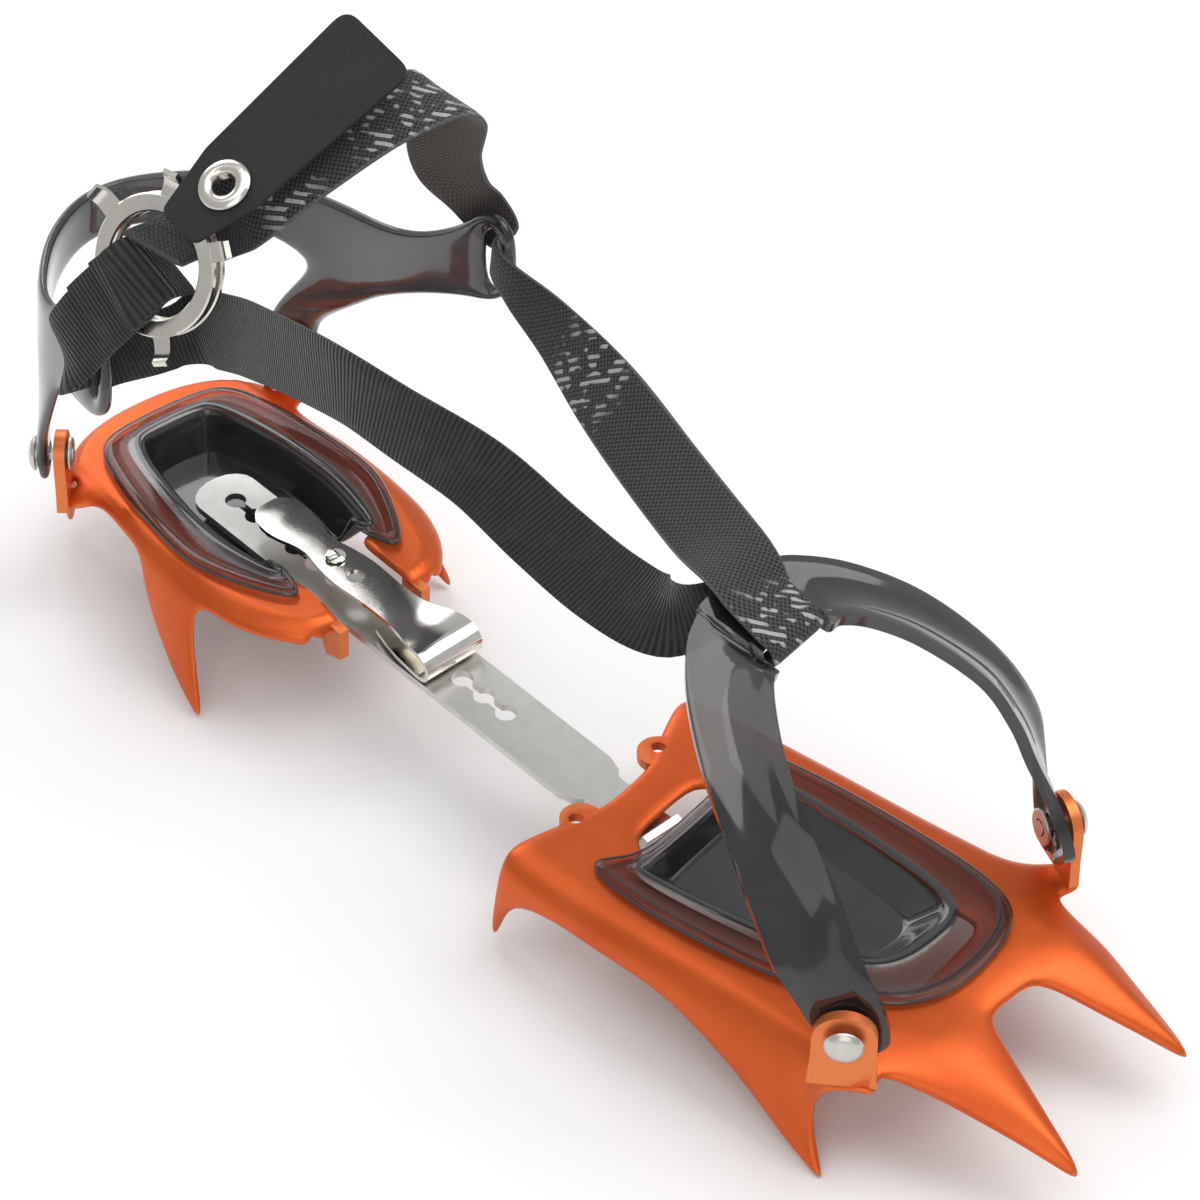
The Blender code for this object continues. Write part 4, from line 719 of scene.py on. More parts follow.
# bail tabs, the ears at the rear edge, rivet holes
TAB_OUT = (0.52, 0.854)      # the way a bail tab faces, level, on the wearer's left
RIVET_HOLE = 2.3
for side in (-1, 1):
    place = pivot_place(BAIL_PIVOT, TAB_OUT, side, FRONT)
    shape = arc(0, 0, 7.6, 14, 15, 180) + [(-7.6, -7.0), (-8.2, -14.8), (8.2, -14.8), (7.6, -7.0)]
    tab = flat_shape("tab", [shape], -SHEET + 0.4, 0.0, place, orange_front, coll=cutters)
    front_frame = cut(front_frame, tab, "UNION")
    front_frame = cut(front_frame, cylinder(RIVET_HOLE, -6.0, 4.0, place, 16))
    ear_at = FRONT @ Matrix.Translation((-1.2, side * 15.5, 0.0))
    ear = cylinder(5.4, FRONT_TOP - SHEET + 0.2, FRONT_TOP - 0.15, ear_at, 20)
    front_frame = cut(front_frame, ear, "UNION")
    hole_at = FRONT @ Matrix.Translation((-2.0, side * 16.5, 0))
    front_frame = cut(front_frame, cylinder(1.9, FRONT_TOP - 6, FRONT_TOP + 2, hole_at, 14))
smooth(flatten(front_frame, FRONT_TOP, 0.14), 40.0)

# ---------------------------------------------------------------- front anti-balling plate
FRONT_PLATE_Z = FRONT_TOP + 0.35
PLATE_WALL = 1.5
FRONT_TRAY_DEEP = 6.4
# share of the way from the outer line to the lip, and height there: bead, film, lip
TRAY_EDGE = ((0.0, 0.0), (0.03, 0.7), (0.15, 0.8), (0.21, 0.3), (0.80, 0.25), (0.86, 1.0), (0.98, 0.95))
# share of the way from the lip to the floor line, and share of the depth
TRAY_WALLS = ((0.80, 0.88), (0.95, 0.98), (1.0, 1.0))


def tray_rings(outer, lip, floor, z, deep):
    """A moulded tray: an outer bead, a flat clear film, a raised lip, steep walls and a flat floor."""
    def between(a, b, f, height):
        return [(x * (1 - f) + u * f, y * (1 - f) + w * f, height) for (x, y), (u, w) in zip(a, b)]

    rings = [between(outer, lip, f, z + h) for f, h in TRAY_EDGE]
    rings.append(between(lip, floor, 0.12, z - 0.4))
    return rings + [between(lip, floor, f, z - deep * d) for f, d in TRAY_WALLS]


def tray(name, rings, frame, mat, skip=None):
    """The moulded tray as a sheet with walls of one thickness, its floor closed across its width."""
    faces = wrapped(rings, skip=skip)
    n = len(rings[0])
    base = (len(rings) - 1) * n
    for k in range(n // 2):
        quad = [base + k, base + k + 1, base + (n - k - 1) % n, base + (n - k) % n]
        faces.append(tuple(dict.fromkeys(quad)))
    mesh = bpy.data.meshes.new(name)
    mesh.from_pydata([(frame @ Vector(p)) * MM for ring in rings for p in ring], [], faces)
    outward(mesh, sheet=True)
    ob = add_object(name, mesh, mat)
    wall = ob.modifiers.new("wall", "SOLIDIFY")
    wall.thickness = PLATE_WALL * MM
    wall.offset = 1.0
    subdivide(ob)
    return smooth(evaluated_copy(ob), 50.0)


def front_plate():
    outer = [(20.3, 0), (20.3, -13.5), (17.5, -21.5), (9.8, -27.3), (20.0, -30.4), (40.0, -31.6),
             (62.0, -30.2), (82.0, -26.6), (97.0, -18.6), (103.0, -8.0), (104.0, 3.0), (103.6, 14.0),
             (99.6, 24.0), (90.0, 28.6), (72.0, 30.4), (44.0, 31.8), (20.0, 30.4), (9.8, 27.3),
             (17.5, 21.5), (20.3, 13.5)]
    lip = [(22.6, 0), (22.6, -13.5), (22.0, -21.0), (22.0, -22.2), (26.0, -22.4), (42.0, -21.6),
           (60.0, -19.4), (74.0, -16.6), (84.0, -12.6), (87.6, -6.0), (88.6, 1.0), (89.4, 9.0),
           (87.0, 15.0), (76.0, 18.0), (62.0, 20.0), (44.0, 21.8), (26.0, 22.4), (22.0, 22.2), (22.0, 21.0),
           (22.6, 13.5)]
    floor = [(24.8, 0), (24.8, -11.5), (25.0, -15.0), (26.0, -16.0), (31.0, -16.4), (44.0, -15.6),
             (58.0, -13.6), (70.0, -11.0), (77.0, -7.6), (79.6, -3.6), (80.4, 1.0), (80.6, 6.0),
             (78.0, 10.0), (70.0, 12.6), (58.0, 14.4), (44.0, 15.8), (31.0, 16.4), (26.0, 16.0),
             (25.0, 15.0), (24.8, 11.5)]
    return tray_rings(outer, lip, floor, FRONT_PLATE_Z, FRONT_TRAY_DEEP)


front_plate_ob = tray("front_antiball_plate", front_plate(), FRONT, MAT["smoky_plastic_front"])

# ---------------------------------------------------------------- linking bar
steel = MAT["tumbled_stainless_steel"]


def bar_height(x):
    """Top face of the bar along its length."""
    t = (x - STUD_X) / (FRONT_AT[0] - STUD_X)
    return BAR_REAR_Z + (BAR_FRONT_Z - BAR_REAR_Z) * t


def bar_outline():
    half = BAR_WIDTH * 0.5
    rear = REAR_HOLE_X - 10.6
    pts = [(rear + half * 0.72 + half * 0.72 * math.cos(math.radians(a)), half * math.sin(math.radians(a)))
           for a in range(90, 271, 20)]
    pts += [(9.0, -half), (13.5, -half + 1.4), (15.5, -half + 3.2), (31.0, -half + 3.2)]
    pts += [(31.0, half - 3.2), (15.5, half - 3.2), (13.5, half - 1.4), (9.0, half)]
    return pts


def keyholes(first, count):
    """Round holes joined by narrow necks, as one outline."""
    r = HOLE_RADIUS
    neck = 1.1
    a0 = math.degrees(math.asin(neck / r))
    upper = []
    lower = []
    for k in range(count):
        cx = first + k * HOLE_PITCH
        start = 180.0 if k == 0 else 180.0 - a0
        end = 0.0 if k == count - 1 else a0
        steps = 6
        for i in range(steps + 1):
            a = math.radians(start + (end - start) * i / steps)
            upper.append((cx + r * math.cos(a), r * math.sin(a)))
            if 0.001 < abs(math.sin(a)):
                lower.append((cx + r * math.cos(a), -r * math.sin(a)))
    return upper + lower[::-1]


bar_lines = [bar_outline(), keyholes(REAR_HOLE_X, 6), keyholes(SHORT_ROW_X, 3)]
linking_bar = flat_shape("linking_bar", bar_lines, -BAR_THICK, 0.0, WORLD, steel)
for v in linking_bar.data.vertices:
    x = v.co.x / MM
    v.co.z += bar_height(x) * MM
hook_top = bar_height(30.6)
hook_path = [(30.6, 0, hook_top - 1.0), (34.2, 0, hook_top - 0.9), (36.4, 0, hook_top + 0.6),
             (37.2, 0, hook_top + 2.4)]
hook = band("hook", hook_path, (0, 1, 0), [12.0] * 4, [BAR_THICK] * 4, steel, per=3)
linking_bar = smooth(cut(linking_bar, hook, "UNION"), 30.0)

# ---------------------------------------------------------------- heel section
def heel_rows():
    """Stations of the heel sheet from the rear edge to the front edge, middle line outwards."""
    top = HEEL_TOP
    rows = []

    def both(half):
        rows.append(both_halves(top, half))

    both([(-96.6, 0, top - 4.6), (-96.2, 9, top - 4.6), (-94.6, 17.5, top - 4.8), (-91.6, 25.5, top - 5.4),
          (-96.6, 25.4, 9.0), (-98.6, 25.2, 0.4), None, None])
    both([(-96.0, 0, top - 1.6), (-95.6, 9, top - 1.6), (-93.8, 17.0, top - 1.6), (-90.6, 25.0, top - 2.0),
          (-88.6, 29.4, top - 4.2), (-93.6, 27.4, 9.0), (-97.8, 25.6, 0.3), None])
    both([(-93.4, 0), (-93.0, 8.6), (-91.4, 15.6), (-88.0, 22.6), (-85.0, 28.0, top - 0.4),
          (-82.6, 32.6, top - 2.6), None, None])
    both([(-89.6, 0), (-89.3, 8.0), (-87.9, 14.6), (-84.8, 21.6), (-82.0, 27.9, top - 0.2),
          (-79.9, 32.8, top - 2.2), None, None])
    both([(-84.6, 0), (-84.4, 7.2), (-83.4, 13.0), (-80.4, 20.4), (-78.4, 27.6),
          (-76.8, 33.0, top - 1.8), (-79.6, 37.0, top - 2.4), None])
    both([(-74, 0), (-74, 8.4), (-74, 15.8), (-72.0, 22.6), (-70.6, 28.6),
          (-69.2, 33.0, top - 1.8), (-70.4, 41.6, top - 2.4), None])
    both([(-62, 0), (-62, 8.6), (-62, 17.8), (-62, 24.6), (-62, 29.4),
          (-62, 33.2, top - 2.6), None, None])
    both([(-53, 0), (-53, 9), (-53, 19.4), (-53, 25.8), (-53, 30.4),
          (-53, 34.4, top - 3.0), None, None])
    both([(-44, 0), (-44, 9.4), (-44, 20.4), (-44, 26.8), (-44, 31.4),
          (-45.0, 35.8, top - 3.2), (-41.5, 38.2, 22.5), (-24.0, 41.6, 7.0)])
    both([(-33, 0), (-33, 10), (-33, 21.2), (-33, 27.4), (-33, 32.0),
          (-33.0, 36.0, top - 3.0), (-30.0, 39.4, 18.5), (-11.4, 43.6, 0.3)])
    both([(-22, 0), (-22, 10.4), (-22, 19.8), (-22, 26.4), (-22, 31.4),
          (-21.0, 35.8, top - 3.0), (-17.5, 39.6, 18.0), (-9.4, 43.6, 0.3)])
    both([(-11, 0), (-11, 10.8), (-11, 16.6), (-10.4, 23.0), (-9.4, 29.0),
          (-8.6, 34.6, top - 3.2), None, None])
    both([(-3.4, 0), (-3.4, 11.0), (-3.2, 15.4), (-1.2, 20.4), (0.6, 25.4),
          (2.2, 30.4, top - 3.4), None, None])
    both([(4.2, 0), (4.2, 11.2), (4.4, 15.0), (5.8, 18.4), (7.4, 21.8, top - 0.6),
          (9.0, 25.0, top - 3.8), None, None])
    both([(9.6, 0), (9.6, 11.4), (9.4, 14.6), (9.8, 17.4, top - 0.6), (10.6, 19.8, top - 2.2),
          (11.4, 21.6, top - 5.2), None, None])
    both([(12.4, 0, top - 3.0), (12.6, 11.6, top - 3.0), (12.2, 14.4, top - 2.6), (12.0, 16.2, top - 3.4),
          (12.2, 17.8, top - 5.0), None, None, None])
    return rows


HEEL_MIDDLE = 7
opening = {(i, j) for i in range(4, 11) for j in range(HEEL_MIDDLE - 2, HEEL_MIDDLE + 2)}
opening |= {(i, j) for i in range(11, 15) for j in (HEEL_MIDDLE - 1, HEEL_MIDDLE)}
heel_frame = grid_sheet("heel_frame", heel_rows(), opening, HEEL, orange_heel, SHEET)
HEEL_OUT = (-0.65, 0.76)     # the way a cradle tab faces, level, on the wearer's left
for side in (-1, 1):
    place = pivot_place(CRADLE_PIVOT, HEEL_OUT, side, HEEL)
    shape = arc(0, 0, 6.4, 14, 15, 180) + [(-6.4, -7.0), (-7.4, -14.4), (7.4, -14.4), (6.4, -7.0)]
    tab = flat_shape("tab", [shape], -SHEET * 0.5, SHEET * 0.5, place, orange_heel, coll=cutters)
    heel_frame = cut(heel_frame, tab, "UNION")
    heel_frame = cut(heel_frame, cylinder(RIVET_HOLE, -6.0, 6.0, place, 16))
    ear_shape = [(-2.2, 22.0), (3.8, 24.0), (4.2, 33.2), (-4.0, 33.2), (-4.4, 27.0)]
    ear_at = HEEL @ Matrix.Translation((11.2, side * 13.2, 0.0)) @ Matrix.Rotation(math.radians(90), 4, "X")
    ear = flat_shape("ear", [ear_shape], -1.4, 1.4, ear_at, orange_heel, coll=cutters)
    heel_frame = cut(heel_frame, ear, "UNION")
smooth(flatten(heel_frame, HEEL_TOP, 0.5), 40.0)

# ---------------------------------------------------------------- heel anti-balling plate
HEEL_PLATE_Z = HEEL_TOP + 0.65
HEEL_TRAY_DEEP = 11.4
h_outer = [(-85.5, 0), (-85.0, -12.0), (-83.0, -20.8), (-72.0, -24.6), (-54.0, -28.2), (-36.0, -29.9),
           (-25.6, -29.4), (-12.0, -23.8), (-1.4, -18.0), (-1.2, -15.4), (-8.0, -14.0), (-14.0, -13.2)]
h_lip = [(-79.6, 0), (-79.2, -8.8), (-78.0, -11.6), (-70.0, -15.2), (-52.0, -18.2), (-38.0, -19.4),
         (-28.0, -19.2), (-20.0, -18.0), (-12.0, -16.4), (-10.0, -14.8), (-13.0, -13.4), (-17.0, -13.0)]
h_floor = [(-76.2, 0), (-76.0, -7.4), (-75.0, -9.8), (-68.0, -13.0), (-52.0, -15.4), (-40.0, -15.8),
           (-32.0, -15.4), (-27.0, -14.2), (-23.6, -14.4), (-22.4, -13.9), (-22.6, -13.2), (-23.6, -12.8)]


def close_half(half):
    """The whole ring from its near half: the first point is on the middle line, the last beside the bar."""
    return half + [(x, -y) for x, y in reversed(half[1:])]


h_rings = tray_rings(*map(close_half, (h_outer, h_lip, h_floor)), HEEL_PLATE_Z, HEEL_TRAY_DEEP)
heel_plate = tray("heel_antiball_plate", h_rings, HEEL, MAT["smoky_plastic_heel"], len(h_rings[0]) // 2)

# ---------------------------------------------------------------- adjuster lever and its stud
mirror = MAT["polished_spring_steel"]
LEVER_T = 1.2
lever_mid = [(-113.4, 38.5), (-112.6, 38.45), (-110.0, 38.3), (-106.0, 38.0), (-101.0, 37.75),
             (-96.0, 37.5), (-91.0, 37.2), (-86.0, 37.0), (-78.0, 36.8), (-70.0, 36.6), (-62.0, 36.4),
             (-55.0, 36.6), (-48.0, 37.4), (-42.5, 37.0), (-39.6, 34.4), (-39.6, 31.2), (-42.0, 29.7),
             (-47.0, 30.2), (-54.0, 30.8), (-62.0, 31.2)]
lever_wide = [5.0, 8.8, 12.6, 14.2, 13.2, 10.2, 9.4, 11.4, 13.2, 12.4, 12.0, 13.6, 17.6, 18.6, 18.6, 18.6,
              18.6, 18.4, 17.0, 13.0]
adjuster_lever = band("adjuster_lever", [(x, 0, z) for x, z in lever_mid], (0, 1, 0), lever_wide,
                      [LEVER_T] * len(lever_mid), mirror, per=3)
stud_at = Matrix.Translation((STUD_X, 0, 0))
adjuster_lever = cut(adjuster_lever, cylinder(2.2, 33.0, 42.0, stud_at, 18))
adjuster_lever = cut(adjuster_lever, cylinder(2.5, 33.0, 42.0, Matrix.Translation((-76.6, -0.8, 0)), 20))
smooth(adjuster_lever, 50.0)
stud_low = bar_height(STUD_X) - BAR_THICK - 0.6
stud_profile = [(0.0, stud_low), (0.8, stud_low), (0.8, 33.0), (1.9, 34.6), (1.9, 37.95), (2.8, 37.95),
                (2.8, 38.5), (1.9, 39.2), (0.0, 39.4)]
adjuster_stud = turned("adjuster_stud", stud_profile, stud_at, mirror, 20)

# ---------------------------------------------------------------- toe bail
BAIL_T = 3.0
bail_rear = [(96.4, 42.6, 36.4), (90.9, 46.2, 43.0), (86.9, 50.0, 53.0), (83.0, 53.4, 63.0),
             (76.0, 52.2, 74.0), (66.0, 48.0, 84.5), (53.0, 41.0, 94.5), (40.5, 31.0, 102.0),
             (32.0, 20.5, 106.6), (28.6, 12.4, 109.0), (27.6, 9.0, 109.8), (27.0, 0.0, 110.2)]
bail_front = [(102.2, 39.1, 36.4), (105.7, 37.1, 42.0), (100.3, 37.2, 54.0), (93.0, 36.6, 65.0),
              (87.6, 35.8, 75.0), (79.0, 34.0, 85.0), (66.0, 27.0, 95.0), (57.0, 19.5, 101.0),
              (52.0, 13.6, 103.2), (50.6, 10.2, 102.6), (45.6, 9.6, 105.0), (44.4, 0.0, 105.2)]


def edge_loft(name, edge_a, edge_b, thick, frame, mat, per, rim, rim_w):
    """A moulded band between two edge lines, with raised rims along both edges."""
    ea = catmull(edge_a, per)
    eb = catmull(edge_b, per)
    mids = [(p + q) * 0.5 for p, q in zip(ea, eb)]
    last = len(mids) - 1
    t = thick * 0.5
    rings = []
    for i, (p, q, mid) in enumerate(zip(ea, eb, mids)):
        run = (mids[min(i + 1, last)] - mids[max(i - 1, 0)]).normalized()
        a = (q - p).normalized()
        out = run.cross(a).normalized()
        h = (q - p).length * 0.5
        e = h - min(rim_w, h * 0.45)
        s = min(1.2, e * 0.4)
        section = [(-h, -t), (-h, t), (-e, t), (-e + s, t - rim), (e - s, t - rim), (e, t), (h, t), (h, -t),
                   (e, -t), (e - s, -t + rim), (-e + s, -t + rim), (-e, -t)]
        rings.append([mid + a * u + out * v for u, v in section])
    return loft(name, rings, frame, mat)


def whole_line(half):
    """A line from the right rivet over the middle to the left one, from its left half."""
    return [Vector((x, -y, z)) for x, y, z in half] + [Vector(p) for p in half[-2::-1]]


toe_bail = edge_loft("toe_bail", whole_line(bail_rear), whole_line(bail_front), BAIL_T, FRONT,
                     MAT["smoky_plastic_bail"], per=8, rim=0.8, rim_w=3.4)
for side in (-1, 1):
    toe_bail = cut(toe_bail, cylinder(3.0, -12.0, 4.0, pivot_place(BAIL_PIVOT, TAB_OUT, side, FRONT), 40))
smooth(toe_bail, 45.0)

# ---------------------------------------------------------------- heel cradle
CRADLE_GAP = 6.3             # from a heel tab's middle to the outside of the cradle arm
CRADLE_THICK = 3.2
ALONG_ARM = (0.76, 0.65)     # level direction along the arm at the pivot
LEG_Z = 53.0                 # height the legs of the cradle narrow towards


def cradle_half(side):
    """Stations from the slotted end round to the middle of the heel; top edge down to the pivot boss."""
    p = (CRADLE_PIVOT[0] + HEEL_OUT[0] * CRADLE_GAP, CRADLE_PIVOT[1] + HEEL_OUT[1] * CRADLE_GAP)
    if side > 0:
        rows = [
            [(13.0, 45.0, 131.0), (14.6, 45.0, 127.0), (14.6, 45.0, 118.0), (12.6, 45.0, 113.5)],
            [(9.0, 45.0, 135.0), (10.6, 45.0, 131.4), (10.6, 45.0, 112.6), (8.4, 45.0, 108.6)],
            [(2.0, 44.6, 133.0), (2.8, 44.6, 129.4), (2.8, 44.6, 109.8), (2.0, 44.6, 105.2)],
            [(-3.0, 44.2, 126.4), (-2.0, 44.2, 122.0), (-2.0, 44.2, 108.0), (-3.0, 44.2, 103.8)],
            [(-20.0, 43.0, 114.0), (-19.0, 43.0, 108.6), (-19.0, 43.0, 101.0), (-20.0, 43.0, 95.4)],
            [(-36.0, 43.4, 107.4), (-36.0, 43.4, 99.0), (-37.0, 43.4, 91.0), (-40.0, 43.4, 82.6)],
            [(-50.0, 43.4, 105.0), (-50.6, 43.4, 97.4), (-52.0, 43.4, 89.0), (-54.0, 43.4, 80.0)],
            [(-64.0, 41.6, 103.4), (-64.6, 41.6, 96.6), (-65.6, 41.6, 89.0), (-66.0, 41.6, 80.6)],
        ]
        legs = {5: 7.0, 6: 0.0, 7: -7.0}
    else:
        rows = [
            [(-24.4, 55.0, 124.0), (-23.0, 55.2, 119.0), (-23.0, 55.4, 106.0), (-25.0, 55.4, 100.0)],
            [(-28.6, 54.0, 129.0), (-26.8, 54.2, 124.6), (-27.2, 54.8, 100.6), (-29.4, 55.0, 95.4)],
            [(-37.0, 51.6, 129.0), (-35.0, 51.8, 123.4), (-35.4, 53.0, 99.6), (-37.4, 53.4, 92.6)],
            [(-43.0, 50.0, 124.0), (-41.6, 50.2, 119.0), (-42.0, 51.4, 98.0), (-43.6, 51.8, 90.6)],
            [(-50.0, 48.4, 115.6), (-49.4, 48.6, 110.0), (-49.4, 49.4, 97.0), (-50.6, 49.8, 88.6)],
            [(-57.0, 47.0, 109.6), (-57.0, 47.2, 103.0), (-57.6, 47.6, 94.0), (-59.0, 48.0, 84.6)],
            [(-65.0, 45.2, 106.6), (-65.4, 45.4, 100.0), (-66.0, 45.6, 91.4), (-67.4, 45.8, 81.6)],
            [(-73.6, 41.6, 104.6), (-74.2, 41.8, 98.0), (-75.0, 42.0, 90.0), (-77.0, 42.0, 82.0)],
        ]
        legs = {5: 6.0, 6: -0.6, 7: -7.2}
    rows += [
        [(-83.0, 35.4, 102.4), (-83.4, 35.4, 96.4), (-84.0, 35.4, 90.0), (-84.4, 35.4, 84.2)],
        [(-96.0, 25.0, 101.0), (-96.4, 25.0, 95.4), (-96.8, 25.0, 90.0), (-96.8, 25.0, 84.4)],
        [(-106.0, 11.0, 100.0), (-106.4, 11.0, 94.8), (-106.8, 11.0, 89.4), (-106.8, 11.0, 83.8)],
        [(-108.6, 0.0, 99.6), (-109.0, 0.0, 94.4), (-109.4, 0.0, 89.0), (-109.4, 0.0, 83.4)],
    ]
    for i, a in legs.items():
        ax, ay = ALONG_ARM[0] * a, ALONG_ARM[1] * a
        bx, by = p[0] + ax, p[1] + ay
        tx, ty, tz = rows[i][3]
        rows[i] += [(tx * 0.62 + bx * 0.38, ty * 0.62 + by * 0.38, tz * 0.62 + LEG_Z * 0.38),
                    (bx + (tx - bx) * 0.06, by + (ty - by) * 0.06, 56.0),
                    (bx, by, CRADLE_PIVOT[2]),
                    (bx - ax * 0.30, by - ay * 0.30, 39.6 if abs(a) > 1 else 38.4)]
    for row in rows:
        row += [None] * (8 - len(row))
    return [[None if q is None else (q[0], side * q[1], q[2]) for q in row] for row in rows]


cradle_rows = cradle_half(-1) + cradle_half(1)[-2::-1]
strap_slots = {(1, 1), (len(cradle_rows) - 3, 1)}
heel_cradle = grid_sheet("heel_cradle", cradle_rows, strap_slots, HEEL, MAT["smoky_plastic_cradle"],
                         CRADLE_THICK)
for side in (-1, 1):
    place = pivot_place(CRADLE_PIVOT, HEEL_OUT, side, HEEL)
    heel_cradle = cut(heel_cradle, cylinder(3.4, -2.0, 12.0, place, 40))
smooth(heel_cradle, 45.0)

# ---------------------------------------------------------------- rivets and washers
rivet_steel = MAT["satin_rivet_steel"]


def pivot_set(prefix, place, head_low, shank_low, washer):
    """A domed rivet through a tab and a moulded arm, with its washer; heights are along the rivet."""
    h = head_low
    profile = [(0.0, shank_low), (1.9, shank_low), (1.9, h), (4.7, h), (4.4, h + 0.7), (3.4, h + 1.4),
               (1.8, h + 1.8), (0.0, h + 1.9)]
    rivet = turned(prefix + "_rivet", profile, place, rivet_steel, 48)
    low, high = washer
    section = [(2.25, low), (4.3, low), (4.7, low + 0.3), (4.7, high - 0.3), (4.3, high), (2.25, high)]
    return rivet, smooth(swept(prefix + "_washer", section, place, rivet_steel, 48), 35.0)


pivots = {}
for side, word in ((-1, "right"), (1, "left")):
    place = pivot_place(BAIL_PIVOT, TAB_OUT, side, FRONT)
    pivots["toe_bail_" + word] = pivot_set("toe_bail_" + word, place, 1.8, -8.2, (-7.9, -6.9))
    place = pivot_place(CRADLE_PIVOT, HEEL_OUT, side, HEEL)
    pivots["heel_cradle_" + word] = pivot_set("heel_cradle_" + word, place, 6.8, -3.2, (-2.9, -1.9))

# ---------------------------------------------------------------- buckle rings
RING_AT = Vector((-100.0, -39.0, 143.0))
RING_N = Vector((0.208, -0.884, 0.416)).normalized()
RING_E1 = Vector((0.978, 0.188, -0.0885)).normalized()
RING_E2 = RING_N.cross(RING_E1)
ring_place = Matrix.Translation(RING_AT) @ Matrix((RING_E1, RING_E2, RING_N)).transposed().to_4x4()
ring_steel = MAT["nickel_plated_ring_steel"]


def ring_solid(name, low, high):
    """A flat stamped ring with eased edges."""
    inner, outer, ease = 13.0, 17.5, 0.4
    section = [(inner, low + ease), (inner + ease, low), (outer - ease, low), (outer, low + ease),
               (outer, high - ease), (outer - ease, high), (inner + ease, high), (inner, high - ease)]
    return swept(name, section, ring_place, ring_steel, 72)


plain_ring = ring_solid("plain_ring", -2.6, -0.9)
tabbed_ring = ring_solid("tabbed_ring", 0.9, 2.6)
for angle in (35, 95, 155, -62):
    turn = ring_place @ Matrix.Rotation(math.radians(angle), 4, "Z")
    tab_mid = [turn @ Vector((r, 0, z)) for r, z in ((16.6, 1.75), (19.6, 1.75), (22.0, 2.4), (23.6, 4.4))]
    tab = band("ring_tab", tab_mid, turn.to_3x3() @ Vector((0, 1, 0)), [5.0, 4.6, 4.4, 4.0],
               [1.5, 1.5, 1.5, 1.3], ring_steel, per=2)
    tabbed_ring = cut(tabbed_ring, tab, "UNION")
smooth(plain_ring, 35.0)
smooth(tabbed_ring, 35.0)

# ---------------------------------------------------------------- webbing
def fr(x, y, z):
    return tuple(FRONT @ Vector((x, y, z)))


def on_ring(u, v, w):
    return tuple(RING_AT + RING_E1 * u + RING_E2 * v + RING_N * w)


FY = tuple(FRONT.to_3x3() @ Vector((0, 1, 0)))
E1 = tuple(RING_E1)

# stations of the webbing: place, direction across the strap, and width where it isn't the full one
SLOT_TO_BAIL = [((-112.4, -52.6, 111.4), (0.0, 0.0, 1.0), 16.0),
                ((-112.2, -47.4, 111.6), (-0.05, 0.05, 1.0), 15.6),
                ((-109.4, -42.2, 113.2), (-0.1, 0.1, 1.0), 15.6),
                ((-103.0, -36.8, 117.6), (0.0, 0.1, 1.0), 17.0), ((-96.6, -30.0, 120.6), (0.0, 0.1, 1.0)),
                ((-80.4, -32.7, 129.6), (0.0, 0.1, 1.0)), ((-58.1, -39.3, 141.3), (0.0, 0.1, 1.0)),
                ((-28.0, -44.6, 151.6), (0.0, 0.1, 1.0)), ((-7.0, -43.0, 150.6), (0.1, 0.2, 1.0)),
                ((13.0, -37.6, 145.0), (0.25, 0.4, 0.9)), ((27.2, -30.0, 131.6), (0.35, 0.6, 0.75)),
                ((37.0, -20.0, 117.0), (0.3, 0.8, 0.6)), ((43.4, -8.6, 105.8), (0.1, 0.97, 0.12), 19.0),
                (fr(29.0, -2.0, 104.4), FY, 18.8), (fr(37.0, -0.2, 102.8), FY, 18.6),
                (fr(42.2, 0.0, 101.8), FY, 18.6)]
BAIL_TO_RINGS = [(fr(43.6, 0.0, 101.4), FY, 18.6), (fr(46.6, 0.0, 101.6), FY, 18.6),
                 (fr(48.8, 0.0, 104.0), FY, 18.6), (fr(47.6, 0.0, 107.0), FY, 18.6),
                 (fr(43.6, 0.0, 108.8), FY, 18.6), (fr(36.4, 1.0, 111.4), FY, 18.8),
                 ((47.6, 11.0, 113.2), (0.1, 0.98, 0.12), 19.2), ((31.7, 16.5, 111.2), (0.15, 0.9, 0.4)),
                 ((10.6, 23.0, 111.4), (0.2, 0.8, 0.55)), ((-17.3, 31.0, 113.8), (0.2, 0.6, 0.75)),
                 ((-44.1, 37.4, 116.6), (0.1, 0.3, 0.95), 16.0),
                 ((-61.4, 38.8, 120.4), (0.0, 0.05, 1.0), 12.4),
                 ((-70.6, 42.4, 120.8), (0.1, 0.0, 1.0), 12.0),
                 ((-73.6, 48.8, 122.4), (0.5, 0.2, 0.85), 12.4),
                 ((-81.5, 47.4, 129.0), (0.85, 0.25, 0.5), 17.5), ((-84.5, 41.5, 138.0), (0.9, 0.4, 0.2)),
                 ((-80.5, 35.0, 153.0), (0.9, 0.45, 0.0)), ((-70.4, 28.6, 172.0), (0.95, 0.3, -0.1)),
                 ((-67.6, 22.0, 180.4), (1.0, 0.0, -0.15)), ((-72.4, 8.0, 177.8), (1.0, 0.0, -0.15)),
                 ((-80.2, -12.0, 167.6), (1.0, 0.1, -0.2)), ((-86.8, -22.6, 158.6), (1.0, 0.15, -0.15)),
                 (on_ring(2.2, 9.6, -9.0), E1, 19.0), (on_ring(0.4, 6.6, -4.4), E1, 18.6),
                 (on_ring(0.0, 5.6, 0.0), E1, 18.6), (on_ring(0.0, 4.6, 5.0), E1, 18.6)]
# the ring strap lies square to its own run: RING_RUN is from the slot to the rings, RING_ACROSS its width
RING_RUN = Vector((0.37, 0.465, 0.804))
RING_ACROSS = (0.905, 0.014, -0.424)


def by_ring(run, out):
    """A point near the rings' middle, some way along the ring strap's run and out of the rings' plane."""
    return tuple(RING_AT + RING_RUN * run + RING_N * out)


